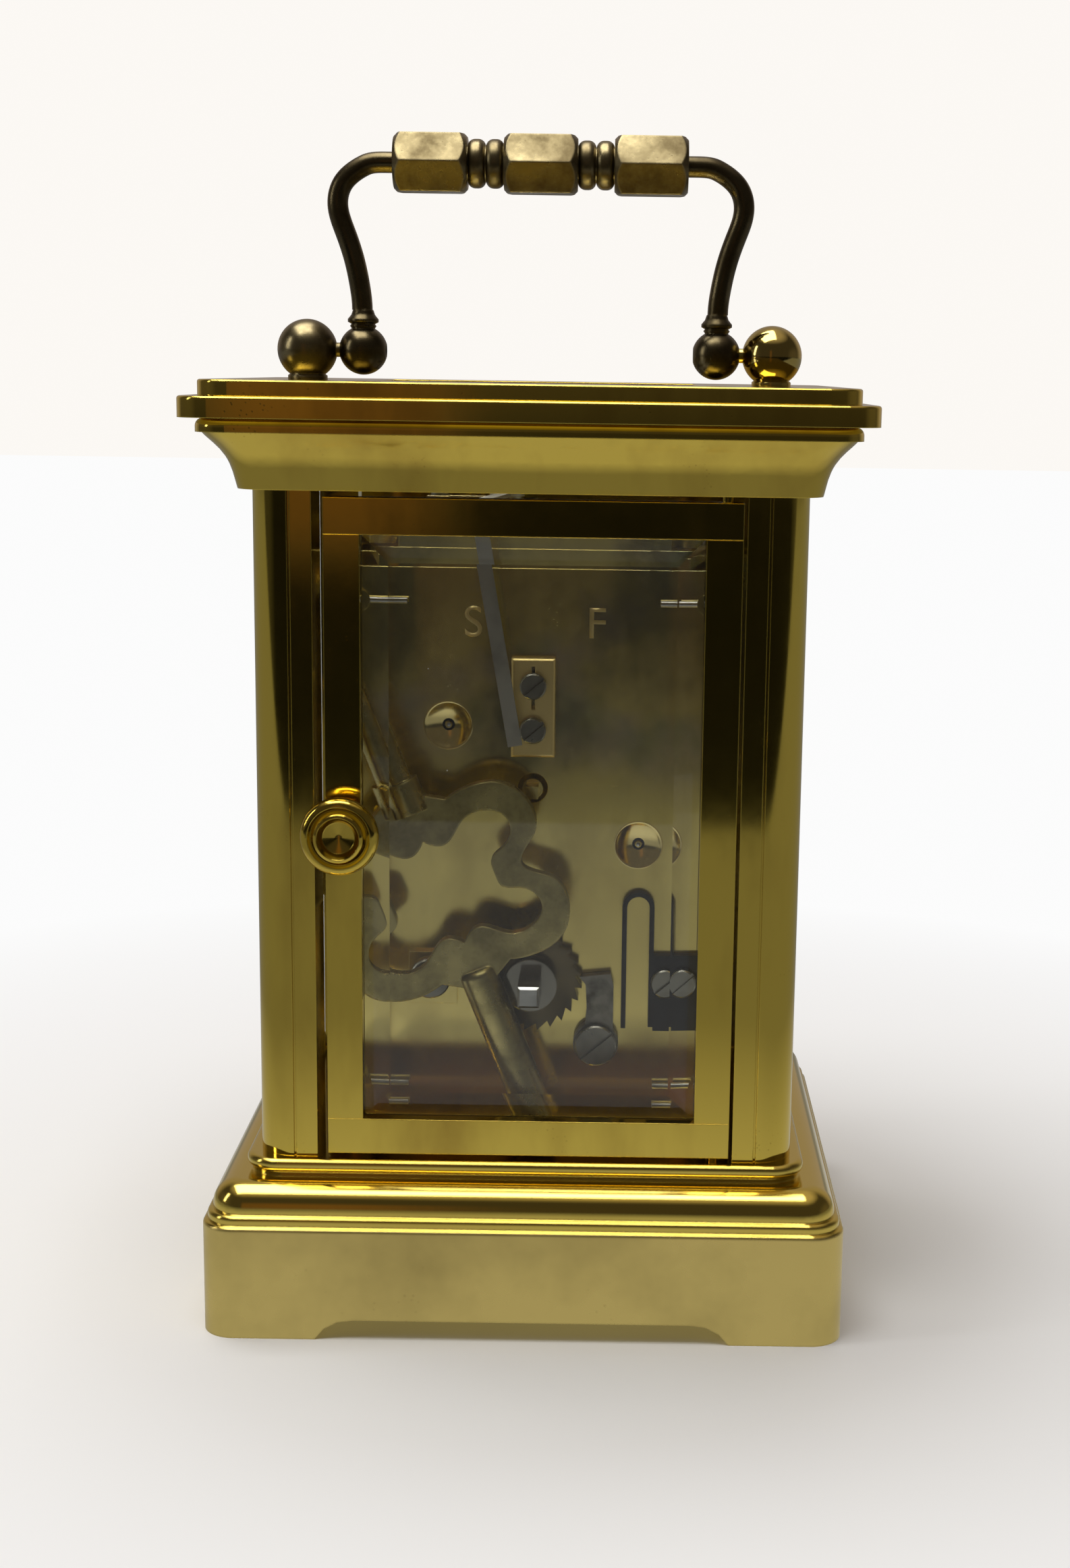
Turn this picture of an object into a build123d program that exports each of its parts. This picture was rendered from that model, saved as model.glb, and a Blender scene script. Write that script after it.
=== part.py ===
from build123d import *
from math import atan2, cos, degrees, hypot, pi, radians, sin
import os

# Carriage clock with a brass and glass case, a folding handle and a rear door.
# Millimetres, +Z up. The dial faces -Y and the door faces +Y.
# The origin is the bottom centre of the case, level with the feet.

# ---------------------------------------------------------------- case
body_w, body_d = 66.0, 54.0          # outside the corner pillars
body_h = 81.4                        # clear height between plinth and cornice
pillar = 7.5                         # side of a corner pillar
column_r = 4.6                       # rounded corner of a pillar
groove = 0.3                         # line beside the rounded corner
pane_t, pane_edge = 2.0, 1.0         # bevelled glass: whole and at its edge
bevel_w = 3.2                        # width of the visible bevel
pane_grip = 1.4                      # how far a pane enters its slot
slot_fit = 0.05                      # clearance round a pane in its slot
corner_r = 4.0                       # plan radius of the mouldings

base_h = 21.2
base_over = 6.3                      # plinth beyond the pillars
plinth_h = 14.2                      # its vertical face
bead_over, bead_top = 5.8, 15.4
ovolo_over, ovolo_top, ovolo_r = 5.2, 18.9, 3.1
roll_over = 1.5
arch_h = 2.5                         # cut-out between the feet
foot_w, foot_curve = 14.0, 4.7       # foot length on the floor, and its curve
web_t = 4.2                          # top of the hollow plinth
plinth_wall = 5.8
floor_t = 1.2                        # sheet that closes the plinth

cornice_cove = [(1.4, 0.0), (1.7, 1.3), (2.2, 3.0), (3.2, 4.7), (4.9, 6.6)]
band_over, band_h = 5.5, 1.6
slab_over, slab_h = 7.2, 2.45
cornice_open_w, cornice_open_d = 46.0, 34.0
top_over, top_h = 5.2, 1.85
top_frame = 4.5                      # top plate inside the cornice opening
screw_r, screw_head_r, screw_head_h = 1.3, 2.3, 1.6
screw_slot, screw_slot_deep = 0.6, 0.6
hole_fit = 0.05                      # clearance round a screw or stud
case_screw_reach = 7.0               # thread inside a pillar
stud_r, stud_reach = 1.2, 1.0        # handle post's stud, and how far it passes the cove

# ---------------------------------------------------------------- handle
post_x, post_r = 29.5, 3.8
post_rise = 3.7                      # ball centre above the top plate
eye_x, eye_r = 22.4, 3.07            # ball at the foot of each handle arm
pivot_r, running_fit = 0.9, 0.04
arm_r = 1.3
arm_route = [(22.5, 5.0), (22.8, 8.0), (23.5, 11.3), (24.6, 14.6), (25.5, 17.8),
             (24.7, 20.7), (22.3, 22.6), (19.6, 23.1)]   # sideways, above the pivot
grip_rise = 23.1
grip_flat = 7.1                      # hexagon across its flats
hex_len, bead_len = 9.2, 2.3
bead_r = 3.0

# ---------------------------------------------------------------- door
door_gap_hinge, door_gap_knob = 0.45, 1.3
door_gap_bottom, door_gap_top = 0.5, 0.7
door_t = 3.2
stile_w, rail_top_h, rail_bottom_h = 4.3, 4.3, 4.4
door_pane_t = 2.0
hinge_in, hinge_back = 1.9, 1.1      # hinge pin from the door's two faces
hinge_pin_r, hinge_pin_in = 0.65, 2.0  # pin, and how far it enters plinth and cornice
door_pane_lip = 0.5                  # brass behind the door's glass
knob_z = 62.3
knob_profile = [(2.2, 0.0), (2.2, 0.9), (1.6, 1.3), (1.6, 1.9), (3.0, 2.2), (4.3, 2.7),
                (4.7, 3.6), (4.3, 4.5), (3.7, 4.7), (3.35, 4.3), (3.2, 4.6), (2.9, 5.2),
                (2.55, 5.4), (2.25, 5.0), (1.9, 4.5), (0.0, 4.2)]
knob_stem_r = 1.2

# ---------------------------------------------------------------- movement
back_y = 10.0                        # rear face of the back plate
plate_t, plate_gap = 2.0, 21.0
plate_w, plate_h = 46.6, 71.3
pillar_x, pillar_r = 19.5, 2.2
pillar_low, pillar_high = 25.8, 88.4
pin_len, pin_r, pin_y = 6.4, 0.38, 1.0   # taper pin, and how far behind the back plate
barrel_at = (0.0, 39.9)              # places on the plates, as (x, z)
inter_at = (-13.5, 57.5)
centre_at = (0.0, 64.7)
third_at = (10.75, 72.6)
contrate_at = (0.0, 78.0)
arbor_r, pivot_tip_r = 0.75, 0.4
sink_r, sink_deep = 3.0, 0.85

barrel_teeth, inter_leaves = 72, 12
inter_teeth, centre_leaves = 60, 10
centre_teeth, third_leaves = 64, 8
third_teeth, contrate_leaves = 60, 8
contrate_teeth, escape_leaves = 70, 7
cannon_leaves, minute_teeth = 12, 36
minute_leaves, hour_teeth = 10, 40
motion_radius = 7.2                  # cannon pinion to minute wheel
motion_angle = -55.0                 # where the minute wheel sits

drum_r, drum_wall = 16.2, 0.9
drum_front_room, drum_back_room = 6.5, 2.5   # between the barrel drum and each plate
third_back_room = 7.0                # between the third wheel and the back plate
wheel_t = 1.0

ratchet_n, ratchet_tip, ratchet_root = 24, 6.6, 5.7
ratchet_phase = 173.0                # direction of the tooth held by the click
ratchet_lift = 0.3                   # gap between ratchet and back plate
ratchet_t, hub_r, hub_t = 1.6, 3.4, 2.3
square_w, square_end = 2.7, 19.8
core_r, barrel_bush_r = 4.0, 2.6
click_at = (-8.4, 31.6)
click_t, click_eye_r = 1.5, 2.9
spring_leg, spring_legs_x, spring_top = 0.6, (-11.9, -15.4), 51.6
potence_w, potence_z0, potence_z1, potence_t = 5.5, 68.9, 81.4, 1.6
plate_screw_spots = [(0.0, 78.0, 1.65, 1.6), (0.0, 72.4, 1.65, 1.6),
                     (-8.4, 31.6, 2.65, 1.7), (-17.2, 39.8, 1.85, 1.3),
                     (12.9, 40.0, 2.6, 1.0)]   # x, z, head radius, block under it
screw_cheese, screw_depth = 1.1, 1.6  # slotted head, and thread into the plate

# ---------------------------------------------------------------- platform
platform_w, platform_t = 34.0, 1.5
escape_room = 10.7                   # escape axis behind the front plate
escape_tip, stone_out = 3.2, 0.9      # wheel tips, and the pallet stones outside them
balance_x, balance_room = 4.5, 3.4   # balance axis, and how far behind the front plate
balance_r, balance_rim = 5.6, 0.8
contrate_out, contrate_in = 11.0, 10.2
wheel_lift, escape_wheel_t = 0.5, 0.4   # escape wheel above the platform
lever_lift, lever_t = 0.45, 0.6
lever_hub_r, elbow_turn = 0.42, 84     # hub and elbows kept clear of the wheel tips
rim_lift, rim_t = 3.4, 0.8           # balance rim
hairspring_lift, hairspring_h = 4.6, 0.4
cock_under = (1.9, 5.3)              # underside of the escape cock and the balance cock
cock_top = (2.7, 6.3)                # their tops, above the platform
staff_r, tap_r = 0.6, 0.55           # thick part of a staff, and a screw's hole
endpiece_r = 1.5                     # boss that the index turns on
face_tooth_h = 0.9

# ---------------------------------------------------------------- dial
dial_r, dial_t, dial_fit = 19.0, 0.8, 0.08
mask_t, mask_gap = 0.6, 0.9
mask_y = -20.5                       # front face of the dial mask
hour_hand_len, minute_hand_len, hand_t = 11.5, 17.0, 0.3

# ---------------------------------------------------------------- winding key
key_foot, key_lean = (-1.4, 22.9), 22.0      # lower end (x, z), lean in degrees
key_y = 17.0
key_big_len, key_big_r = 19.9, 2.4
key_bow_len, key_small_len, key_small_r = 24.6, 15.6, 1.6
key_bow_t = 1.8
bow_outside = [(2.2, 0.0), (4.6, 1.4), (8.2, 0.9), (11.6, 1.8), (14.0, 5.2), (13.6, 9.0),
               (11.2, 11.0), (10.4, 12.3), (11.2, 13.6), (13.6, 15.6), (14.0, 19.4),
               (11.6, 22.8), (8.2, 23.7), (4.6, 23.2), (2.2, 24.6)]
bow_inside = [(0.0, 5.4), (3.2, 6.4), (5.6, 4.6), (8.6, 4.4), (10.8, 6.4), (9.6, 9.2),
              (7.0, 10.6), (6.8, 12.3), (7.0, 14.0), (9.6, 15.4), (10.8, 18.2),
              (8.6, 20.2), (5.6, 20.0), (3.2, 18.2), (0.0, 19.2)]

# ---------------------------------------------------------------- worked out
hw, hd = body_w / 2, body_d / 2
body_top = base_h + body_h
cornice_gap = 0.1
cornice_z = body_top + cornice_gap
cove_top = cornice_z + cornice_cove[-1][1]
band_top = cove_top + band_h
top_plate_z = band_top + 0.05 + slab_h
top_z = top_plate_z + top_h
pivot_z = top_z + post_rise
front_plate_y = back_y - 2 * plate_t - plate_gap     # front face of the front plate
inner_front = front_plate_y + plate_t
inner_back = back_y - plate_t
plates_top = base_h + plate_h
drum_y0, drum_y1 = inner_front + drum_front_room, inner_back - drum_back_room
escape_y = inner_front + escape_room
balance_at = (balance_x, inner_front + balance_room)     # (x, y)
pillar_in_x, pillar_in_y = hw - pillar, hd - pillar
screw_x, screw_y = hw - column_r + 0.2, hd - column_r + 0.2
door_x0 = -pillar_in_x + door_gap_hinge
door_x1 = pillar_in_x - door_gap_knob
door_z0, door_z1 = base_h + door_gap_bottom, body_top - door_gap_top
hinge_x, hinge_y = door_x0 + hinge_in, hd - hinge_back
pane_inset = 0.6                     # glass face behind the pillar face
side_x = hw - pane_inset - pane_t    # inner face of a side pane
front_y = -(hd - pane_inset - pane_t)
platform_z = plates_top


# ---------------------------------------------------------------- helpers
def block(x0, x1, y0, y1, z0, z1):
    centre = Pos((x0 + x1) / 2, (y0 + y1) / 2, (z0 + z1) / 2)
    return centre * Box(abs(x1 - x0), abs(y1 - y0), abs(z1 - z0))


def rod_z(x, y, r, z0, z1):
    return Pos(x, y, (z0 + z1) / 2) * Cylinder(r, z1 - z0)


def rod_y(at, r, y0, y1):
    turn = Rot(90, 0, 0)
    return Pos(at[0], (y0 + y1) / 2, at[1]) * turn * Cylinder(r, y1 - y0)


def rod_x(y, z, r, x0, x1):
    turn = Rot(0, 90, 0)
    return Pos((x0 + x1) / 2, y, z) * turn * Cylinder(r, x1 - x0)


def slab(sketch, y0, y1):
    """A flat shape drawn in (x, z), given its thickness from y0 to y1."""
    face_plane = Plane(origin=(0, y1, 0), x_dir=(1, 0, 0), z_dir=(0, -1, 0))
    return extrude(face_plane * sketch, amount=y1 - y0)


def level(sketch, z0, z1):
    return extrude(Pos(0, 0, z0) * sketch, amount=z1 - z0)


def outline(points):
    return make_face(Polyline(*[(p[0], p[1]) for p in points], close=True))


def tier(over, z0, z1, r=corner_r):
    """One layer of a moulding, with rounded corners."""
    plan = RectangleRounded(body_w + 2 * over, body_d + 2 * over, r)
    return level(plan, z0, z1)


def edges_at(part, z):
    return [e for e in part.edges() if abs(e.bounding_box().min.Z - z) < 1e-4
            and abs(e.bounding_box().max.Z - z) < 1e-4]


def polar(centre, r, angle):
    return (centre[0] + r * cos(radians(angle)), centre[1] + r * sin(radians(angle)))


def heading(a, b):
    return degrees(atan2(b[1] - a[1], b[0] - a[0]))


def distance(a, b):
    return hypot(b[0] - a[0], b[1] - a[1])


def pane(width, height, thick, edge, margin):
    """Bevelled glass lying flat: a thin edge in its slot, then a wide bevel."""
    sheet = level(Rectangle(width, height), 0, edge)
    lip = 2 * (margin + 0.1)
    low = Pos(0, 0, edge) * Rectangle(width - lip, height - lip)
    flat = lip + 2 * bevel_w
    high = Pos(0, 0, thick) * Rectangle(width - flat, height - flat)
    return sheet + loft([low, high], ruled=True)


def gear(at, n, module, phase, addendum, dedendum, thick):
    """Outline of a wheel or pinion. phase is the direction of one tooth."""
    r = n * module / 2
    pitch = 360 / n
    rows = [(r - dedendum * module, thick * 1.05), (r, thick),
            (r + addendum * module * 0.7, thick * 0.62), (r + addendum * module, thick * 0.18)]
    points = []
    for i in range(n):
        middle = phase + i * pitch
        points += [polar(at, radius, middle - share * pitch / 2) for radius, share in rows]
        points += [polar(at, radius, middle + share * pitch / 2) for radius, share in rows[::-1]]
    return outline(points)


def wheel_shape(at, n, module, phase):
    return gear(at, n, module, phase, 0.85, 1.25, 0.42)


def pinion_shape(at, n, module, phase):
    return gear(at, n, module, phase, 0.5, 1.3, 0.34)


def crossings(at, r_hub, r_rim, spokes, spoke_w):
    """Windows between the spokes of a wheel."""
    ring = Circle(r_rim) - Circle(r_hub)
    for i in range(spokes):
        ring -= Rot(0, 0, 360 * i / spokes) * Pos(r_rim / 2, 0) * Rectangle(r_rim, spoke_w)
    return Pos(*at) * ring


def crossed_wheel(at, n, module, phase, y0, hub, spokes=4):
    body = slab(wheel_shape(at, n, module, phase), y0, y0 + wheel_t)
    rim = n * module / 2 - 2.6 * module - 0.5
    return body - slab(crossings(at, hub, rim, spokes, 1.3), y0 - 1, y0 + wheel_t + 1)


def mesh_module(a, b, n1, n2):
    return 2 * distance(a, b) / (n1 + n2)


def mesh_phases(a, b, n2):
    """A tooth of the wheel at a points at b, between two leaves of the pinion."""
    toward = heading(a, b)
    return toward, toward + 180 + 180 / n2


def arbor(at, y0, y1, stop=0.35):
    """A steel arbor with a fine pivot in each plate, ending short of the rear face."""
    body = rod_y(at, arbor_r, y0, y1)
    pivots = rod_y(at, pivot_tip_r, inner_front - plate_t * 0.9, back_y - stop)
    return body + pivots


def slotted_screw(x, z, r, seat, reach):
    """Screw along Y with a slotted head seated at y = seat."""
    head = rod_y((x, z), r, seat, seat + screw_cheese)
    rim = [e for e in head.edges() if abs(e.center().Y - seat - screw_cheese) < 0.01]
    head = chamfer(rim, 0.18)
    slot = block(-r - 1, r + 1, seat + 0.55, seat + 3, -0.22, 0.22)
    turned = Pos(x, 0, z) * Rot(0, 40, 0) * slot
    return head - turned + rod_y((x, z), r * 0.5, reach, seat)


# ---------------------------------------------------------------- plinth
def build_plinth():
    lower = tier(base_over, 0, plinth_h)
    lower = fillet(edges_at(lower, plinth_h), 0.5)
    bead = tier(bead_over, plinth_h, bead_top)
    bead = fillet(edges_at(bead, bead_top), 0.55)
    ovolo = tier(ovolo_over, bead_top, ovolo_top)
    ovolo = fillet(edges_at(ovolo, ovolo_top), ovolo_r)
    neck = tier(roll_over - 0.5, ovolo_top, ovolo_top + 0.7)
    roll = tier(roll_over, ovolo_top + 0.7, base_h)
    roll = fillet(edges_at(roll, base_h) + edges_at(roll, ovolo_top + 0.7), 0.7)
    part = lower + bead + ovolo + neck + roll
    out_w, out_d = body_w + 2 * base_over, body_d + 2 * base_over
    inside = RectangleRounded(out_w - 2 * plinth_wall, out_d - 2 * plinth_wall, 2.0)
    part -= level(inside, -1, base_h - web_t)
    well = Pos(0, (back_y + front_plate_y) / 2) * Rectangle(barrel_well_w(), plate_gap - 1)
    part -= level(well, 0, base_h + 1)
    for span, depth, turn in ((out_w, out_d, 0), (out_d, out_w, 90)):
        part -= Rot(0, 0, turn) * arch_cut(span, depth)
    part -= side_pane(1, slot_fit) + side_pane(-1, slot_fit) + front_pane(slot_fit)
    part -= rod_z(hinge_x, hinge_y, hinge_pin_r + running_fit,
                  base_h - hinge_pin_in - 0.2, base_h + 1)
    for sx in (-1, 1):
        for sy in (-1, 1):
            part -= rod_z(sx * screw_x, sy * screw_y, screw_r + hole_fit, 0, base_h + 1)
    for x, y in movement_feet():
        part -= rod_z(x, y, screw_r + hole_fit, 0, base_h + 1)
    return part


def barrel_well_w():
    return 2 * (plate_w / 2 - 2 * pillar_r - 2.5)


def arch_cut(span, depth):
    """Opening under one pair of sides, with curved ends that leave the feet."""
    half = span / 2 - foot_w
    sweep = min(foot_curve, half / 2)
    left = [(-half, -1), (-half, 0), (-half + sweep * 0.25, arch_h * 0.55),
            (-half + sweep * 0.6, arch_h * 0.9), (-half + sweep, arch_h)]
    right = [(-x, z) for x, z in reversed(left)]
    tunnel = slab(outline(left + right), -depth, depth)
    return tunnel


def movement_feet():
    return [(sx * pillar_x, back_y - plate_t - plate_gap / 2) for sx in (-1, 1)]


def build_floor():
    out_w, out_d = body_w + 2 * base_over, body_d + 2 * base_over
    fit = 0.1
    plan = RectangleRounded(out_w - 2 * (plinth_wall + fit), out_d - 2 * (plinth_wall + fit), 1.9)
    sheet = level(plan, arch_h + 0.5, arch_h + 0.5 + floor_t)
    lugs = []
    for sx in (-1, 1):
        for sy in (-1, 1):
            lugs.append(rod_z(sx * (screw_x - 7), sy * (screw_y - 1.5), 2.4,
                              arch_h + 0.5 + floor_t, base_h - web_t))
    for lug in lugs:
        sheet += lug
    return sheet


# ---------------------------------------------------------------- pillars and glass
def pillar_plan():
    x0, y0 = pillar_in_x, pillar_in_y
    cx, cy = hw - column_r, hd - column_r
    plan = Pos((x0 + cx) / 2, (y0 + hd) / 2) * Rectangle(cx - x0, hd - y0)
    plan += Pos((x0 + hw) / 2, (y0 + cy) / 2) * Rectangle(hw - x0, cy - y0)
    outer = Pos((cx + hw) / 2, (cy + hd) / 2) * Rectangle(hw - cx, hd - cy)
    plan += (Pos(cx, cy) * Circle(column_r)) & outer
    plan -= Pos(cx - groove / 2, hd) * Rectangle(groove, 2 * groove)
    plan -= Pos(hw, cy - groove / 2) * Rectangle(2 * groove, groove)
    return plan


def build_pillar(sx, sy):
    part = level(pillar_plan(), base_h, body_top + cornice_gap)
    if sx < 0:
        part = mirror(part, Plane.YZ)
    if sy < 0:
        part = mirror(part, Plane.XZ)
    part -= side_pane(sx, slot_fit)
    if sy < 0:
        part -= front_pane(slot_fit)
    depth = case_screw_reach + 1
    for z0, z1 in ((base_h - 1, base_h + depth), (body_top - depth, body_top + 2)):
        part -= rod_z(sx * screw_x, sy * screw_y, screw_r + 0.02, z0, z1)
    return part


def side_pane(side, extra=0.0):
    """Glass in the slots of two pillars, the plinth and the cornice."""
    width = 2 * (pillar_in_y + pane_grip)
    height = body_h + 2 * pane_edge
    if extra:
        sheet = level(Rectangle(width + 2 * extra, height + 2 * extra), -extra, pane_edge + extra)
    else:
        sheet = pane(width, height, pane_t, pane_edge, pane_grip)
    turned = Plane(origin=(side * side_x, 0, base_h + body_h / 2), x_dir=(0, 1, 0),
                   z_dir=(side, 0, 0))
    return turned * sheet


def front_pane(extra=0.0):
    width = 2 * (pillar_in_x + pane_grip)
    height = body_h + 2 * pane_edge
    if extra:
        sheet = level(Rectangle(width + 2 * extra, height + 2 * extra), -extra, pane_edge + extra)
    else:
        sheet = pane(width, height, pane_t, pane_edge, pane_grip)
    turned = Plane(origin=(0, front_y, base_h + body_h / 2), x_dir=(1, 0, 0), z_dir=(0, -1, 0))
    return turned * sheet


# ---------------------------------------------------------------- cornice and top
def build_cornice():
    rings = []
    for over, rise in cornice_cove:
        plan = RectangleRounded(body_w + 2 * over, body_d + 2 * over, corner_r)
        rings.append(Pos(0, 0, cornice_z + rise) * plan)
    part = loft(rings)
    band = tier(band_over, cove_top, band_top)
    band = fillet(edges_at(band, band_top), band_h * 0.6)
    part += band
    part += tier(band_over - 0.6, band_top, band_top + 0.05)
    slab_part = tier(slab_over, band_top + 0.05, top_plate_z)
    part += fillet(edges_at(slab_part, top_plate_z), 0.35)
    part -= level(RectangleRounded(cornice_open_w, cornice_open_d, 2.0), 0, top_z + 1)
    rebate = Rectangle(top_pane_w() + 2 * slot_fit, top_pane_d() + 2 * slot_fit)
    part -= level(rebate, top_plate_z - pane_edge - slot_fit, top_z)
    part -= side_pane(1, slot_fit) + side_pane(-1, slot_fit) + front_pane(slot_fit)
    part -= rod_z(hinge_x, hinge_y, hinge_pin_r + running_fit,
                  cornice_z - 1, cornice_z + hinge_pin_in + 0.4)
    for sx in (-1, 1):
        for sy in (-1, 1):
            part -= rod_z(sx * screw_x, sy * screw_y, screw_r + hole_fit, cornice_z - 1, top_z)
            part -= rod_z(sx * screw_x, sy * screw_y, screw_head_r + 0.1,
                          top_plate_z - screw_head_h - 0.3, top_z)
        part -= rod_z(sx * post_x, 0, stud_r + hole_fit, cove_top - stud_reach, top_z)
    return part


def top_pane_w():
    return cornice_open_w + 2 * pane_grip


def top_pane_d():
    return cornice_open_d + 2 * pane_grip


def build_top_plate():
    part = tier(top_over, top_plate_z, top_z)
    part = fillet(edges_at(part, top_z), 0.3)
    window = Rectangle(top_pane_w() - 2 * top_frame, top_pane_d() - 2 * top_frame)
    part -= level(window, 0, top_z + 1)
    for sx in (-1, 1):
        part -= rod_z(sx * post_x, 0, stud_r + hole_fit, 0, top_z + 1)
    return part


def build_top_glass():
    sheet = pane(top_pane_w(), top_pane_d(), pane_t, pane_edge, top_frame)
    return Pos(0, 0, top_plate_z - pane_edge) * sheet


def driver_slot(x, y, z):
    """Screwdriver slot across a head whose face is at z."""
    return Pos(x, y, z) * Box(3 * screw_head_r, screw_slot, 2 * screw_slot_deep)


def build_case_screws():
    group = []
    for sx in (-1, 1):
        for sy in (-1, 1):
            x, y = sx * screw_x, sy * screw_y
            seat = base_h - web_t
            low = rod_z(x, y, screw_head_r, seat - screw_head_h, seat)
            low -= driver_slot(x, y, seat - screw_head_h)
            group.append(low + rod_z(x, y, screw_r, seat, base_h + case_screw_reach))
            seat = top_plate_z - screw_head_h - 0.3
            high = rod_z(x, y, screw_head_r, seat, seat + screw_head_h)
            high -= driver_slot(x, y, seat + screw_head_h)
            group.append(high + rod_z(x, y, screw_r, body_top - case_screw_reach, seat))
    for x, y in movement_feet():
        seat = base_h - web_t
        head = rod_z(x, y, screw_head_r, seat - screw_head_h, seat)
        head -= driver_slot(x, y, seat - screw_head_h)
        group.append(head + rod_z(x, y, screw_r, seat, pillar_low - pillar_r + 0.8))
    return Compound(group)


# ---------------------------------------------------------------- handle
def build_post(side):
    foot = Polyline((0, 0), (2.5, 0), (2.5, 0.45), (1.9, 0.9), (1.7, 1.3), (0, 1.3), close=True)
    base = Pos(0, 0, top_z) * revolve(Plane.XZ * make_face(foot), Axis.Z)
    ball = Pos(0, 0, pivot_z) * Sphere(post_r)
    room = 2 * post_r
    ball &= block(-room, room, -room, room, top_z, pivot_z + room)
    stud = rod_z(0, 0, stud_r, cove_top - stud_reach, top_z + 1)
    part = Pos(side * post_x, 0, 0) * (base + ball + stud)
    inner = eye_x - eye_r + 0.5
    pin = rod_x(0, pivot_z, pivot_r, min(side * inner, side * post_x),
                max(side * inner, side * post_x))
    return part + pin


def build_arm(side):
    eye = Pos(eye_x, 0, pivot_z) * Sphere(eye_r)
    collar = [(0, 2.2), (1.5, 2.2), (1.5, 2.75), (1.68, 3.0), (1.5, 3.25), (1.95, 3.5),
              (1.95, 3.85), (1.5, 4.4), (arm_r, 5.0), (0, 5.0)]
    ring = revolve(Plane.XZ * outline(collar), Axis.Z)
    eye += Pos(eye_x, 0, pivot_z) * ring
    route = [(x, 0, pivot_z + z) for x, z in arm_route]
    path = Spline(*route, tangents=[(0, 0, 1), (-1, 0, 0)])
    start = Plane(origin=route[0], z_dir=(0, 0, 1))
    arm = sweep(start * Circle(arm_r), path=path)
    part = eye + arm
    part += rod_x(0, pivot_z + grip_rise, arm_r, grip_half() - 1.0, route[-1][0] + 0.001)
    ball_eye_hole = rod_x(0, pivot_z, pivot_r + running_fit, eye_x - eye_r - 1, eye_x + eye_r + 1)
    part -= ball_eye_hole
    return part if side > 0 else mirror(part, Plane.YZ)


def grip_half():
    return (3 * hex_len + 4 * bead_len) / 2


def build_grip():
    """Three hexagons with two rounded beads between each pair."""
    corner = grip_flat / 2 / cos(radians(30))
    turn = Rot(0, 90, 0)
    part = None
    x = -grip_half()
    for piece in ("hex", "bead", "bead", "hex", "bead", "bead", "hex"):
        length = hex_len if piece == "hex" else bead_len
        middle = Pos(x + length / 2, 0, pivot_z + grip_rise) * turn
        if piece == "hex":
            solid = middle * extrude(Pos(0, 0, -length / 2) * Rot(0, 0, 90)
                                     * RegularPolygon(corner, 6), amount=length)
            cone = middle * (Cylinder(corner + 1, length)
                             & (Cone(corner - 0.9 + length, corner - 0.9, length)
                                & Cone(corner - 0.9, corner - 0.9 + length, length)))
            solid &= cone
        else:
            solid = middle * Cylinder(bead_r, length)
            rims = [e for e in solid.edges() if e.length > 2 * pi * bead_r * 0.9]
            solid = fillet(rims, length * 0.42)
        part = solid if part is None else part + solid
        x += length
    for side in (-1, 1):
        end = side * grip_half()
        part -= rod_x(0, pivot_z + grip_rise, arm_r, min(end, end - side), max(end, end - side))
    return part


# ---------------------------------------------------------------- door
def door_pane(extra=0.0):
    width = door_x1 - door_x0 - 2 * stile_w + 2 * pane_grip
    z0, z1 = door_z0 + rail_bottom_h - pane_grip, door_z1 - rail_top_h + pane_grip
    y0 = hd - door_t + door_pane_lip
    if extra:
        sheet = level(Rectangle(width + 2 * extra, z1 - z0 + 2 * extra), -extra, pane_edge + extra)
    else:
        sheet = pane(width, z1 - z0, door_pane_t, pane_edge, pane_grip)
    turned = Plane(origin=((door_x0 + door_x1) / 2, y0, (z0 + z1) / 2), x_dir=(-1, 0, 0),
                   z_dir=(0, 1, 0))
    return turned * sheet


def build_door():
    y0, y1 = hd - door_t, hd
    inner_z0, inner_z1 = door_z0 + rail_bottom_h, door_z1 - rail_top_h
    pin_low = rod_z(hinge_x, hinge_y, hinge_pin_r, base_h - hinge_pin_in, door_z0 + 0.2)
    pin_high = rod_z(hinge_x, hinge_y, hinge_pin_r, door_z1 - 0.2, cornice_z + hinge_pin_in + 0.2)
    slot = door_pane(slot_fit)
    knob_x = door_x1 - stile_w / 2
    stem_y = hd - door_t + door_pane_lip + pane_edge + 0.2
    knob_stem = rod_y((knob_x, knob_z), knob_stem_r, stem_y, hd)
    parts = {
        "door_rail_bottom": block(door_x0, door_x1, y0, y1, door_z0, inner_z0) - slot + pin_low,
        "door_rail_top": block(door_x0, door_x1, y0, y1, inner_z1, door_z1) - slot + pin_high,
        "door_stile_hinge": block(door_x0, door_x0 + stile_w, y0, y1, inner_z0, inner_z1) - slot,
        "door_stile_knob": block(door_x1 - stile_w, door_x1, y0, y1, inner_z0, inner_z1) - slot
        - rod_y((knob_x, knob_z), knob_stem_r, stem_y, hd + 1),
        "door_glass": door_pane(),
    }
    lower = Polyline(*([(0, 0)] + knob_profile[:5]))
    ring = Spline(*knob_profile[4:9])
    dish = Polyline(*knob_profile[8:], (0, 0))
    face = make_face(Wire([lower.edges()[i] for i in range(len(lower.edges()))]
                          + list(ring.edges()) + list(dish.edges())))
    knob = revolve(Plane.XZ * face, Axis.Z)
    knob = Pos(knob_x, hd, knob_z) * Rot(-90, 0, 0) * knob
    parts["door_knob"] = knob + knob_stem
    return parts


# ---------------------------------------------------------------- plates
def pillar_spots():
    return [(sx * pillar_x, z) for sx in (-1, 1) for z in (pillar_low, pillar_high)]


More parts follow.
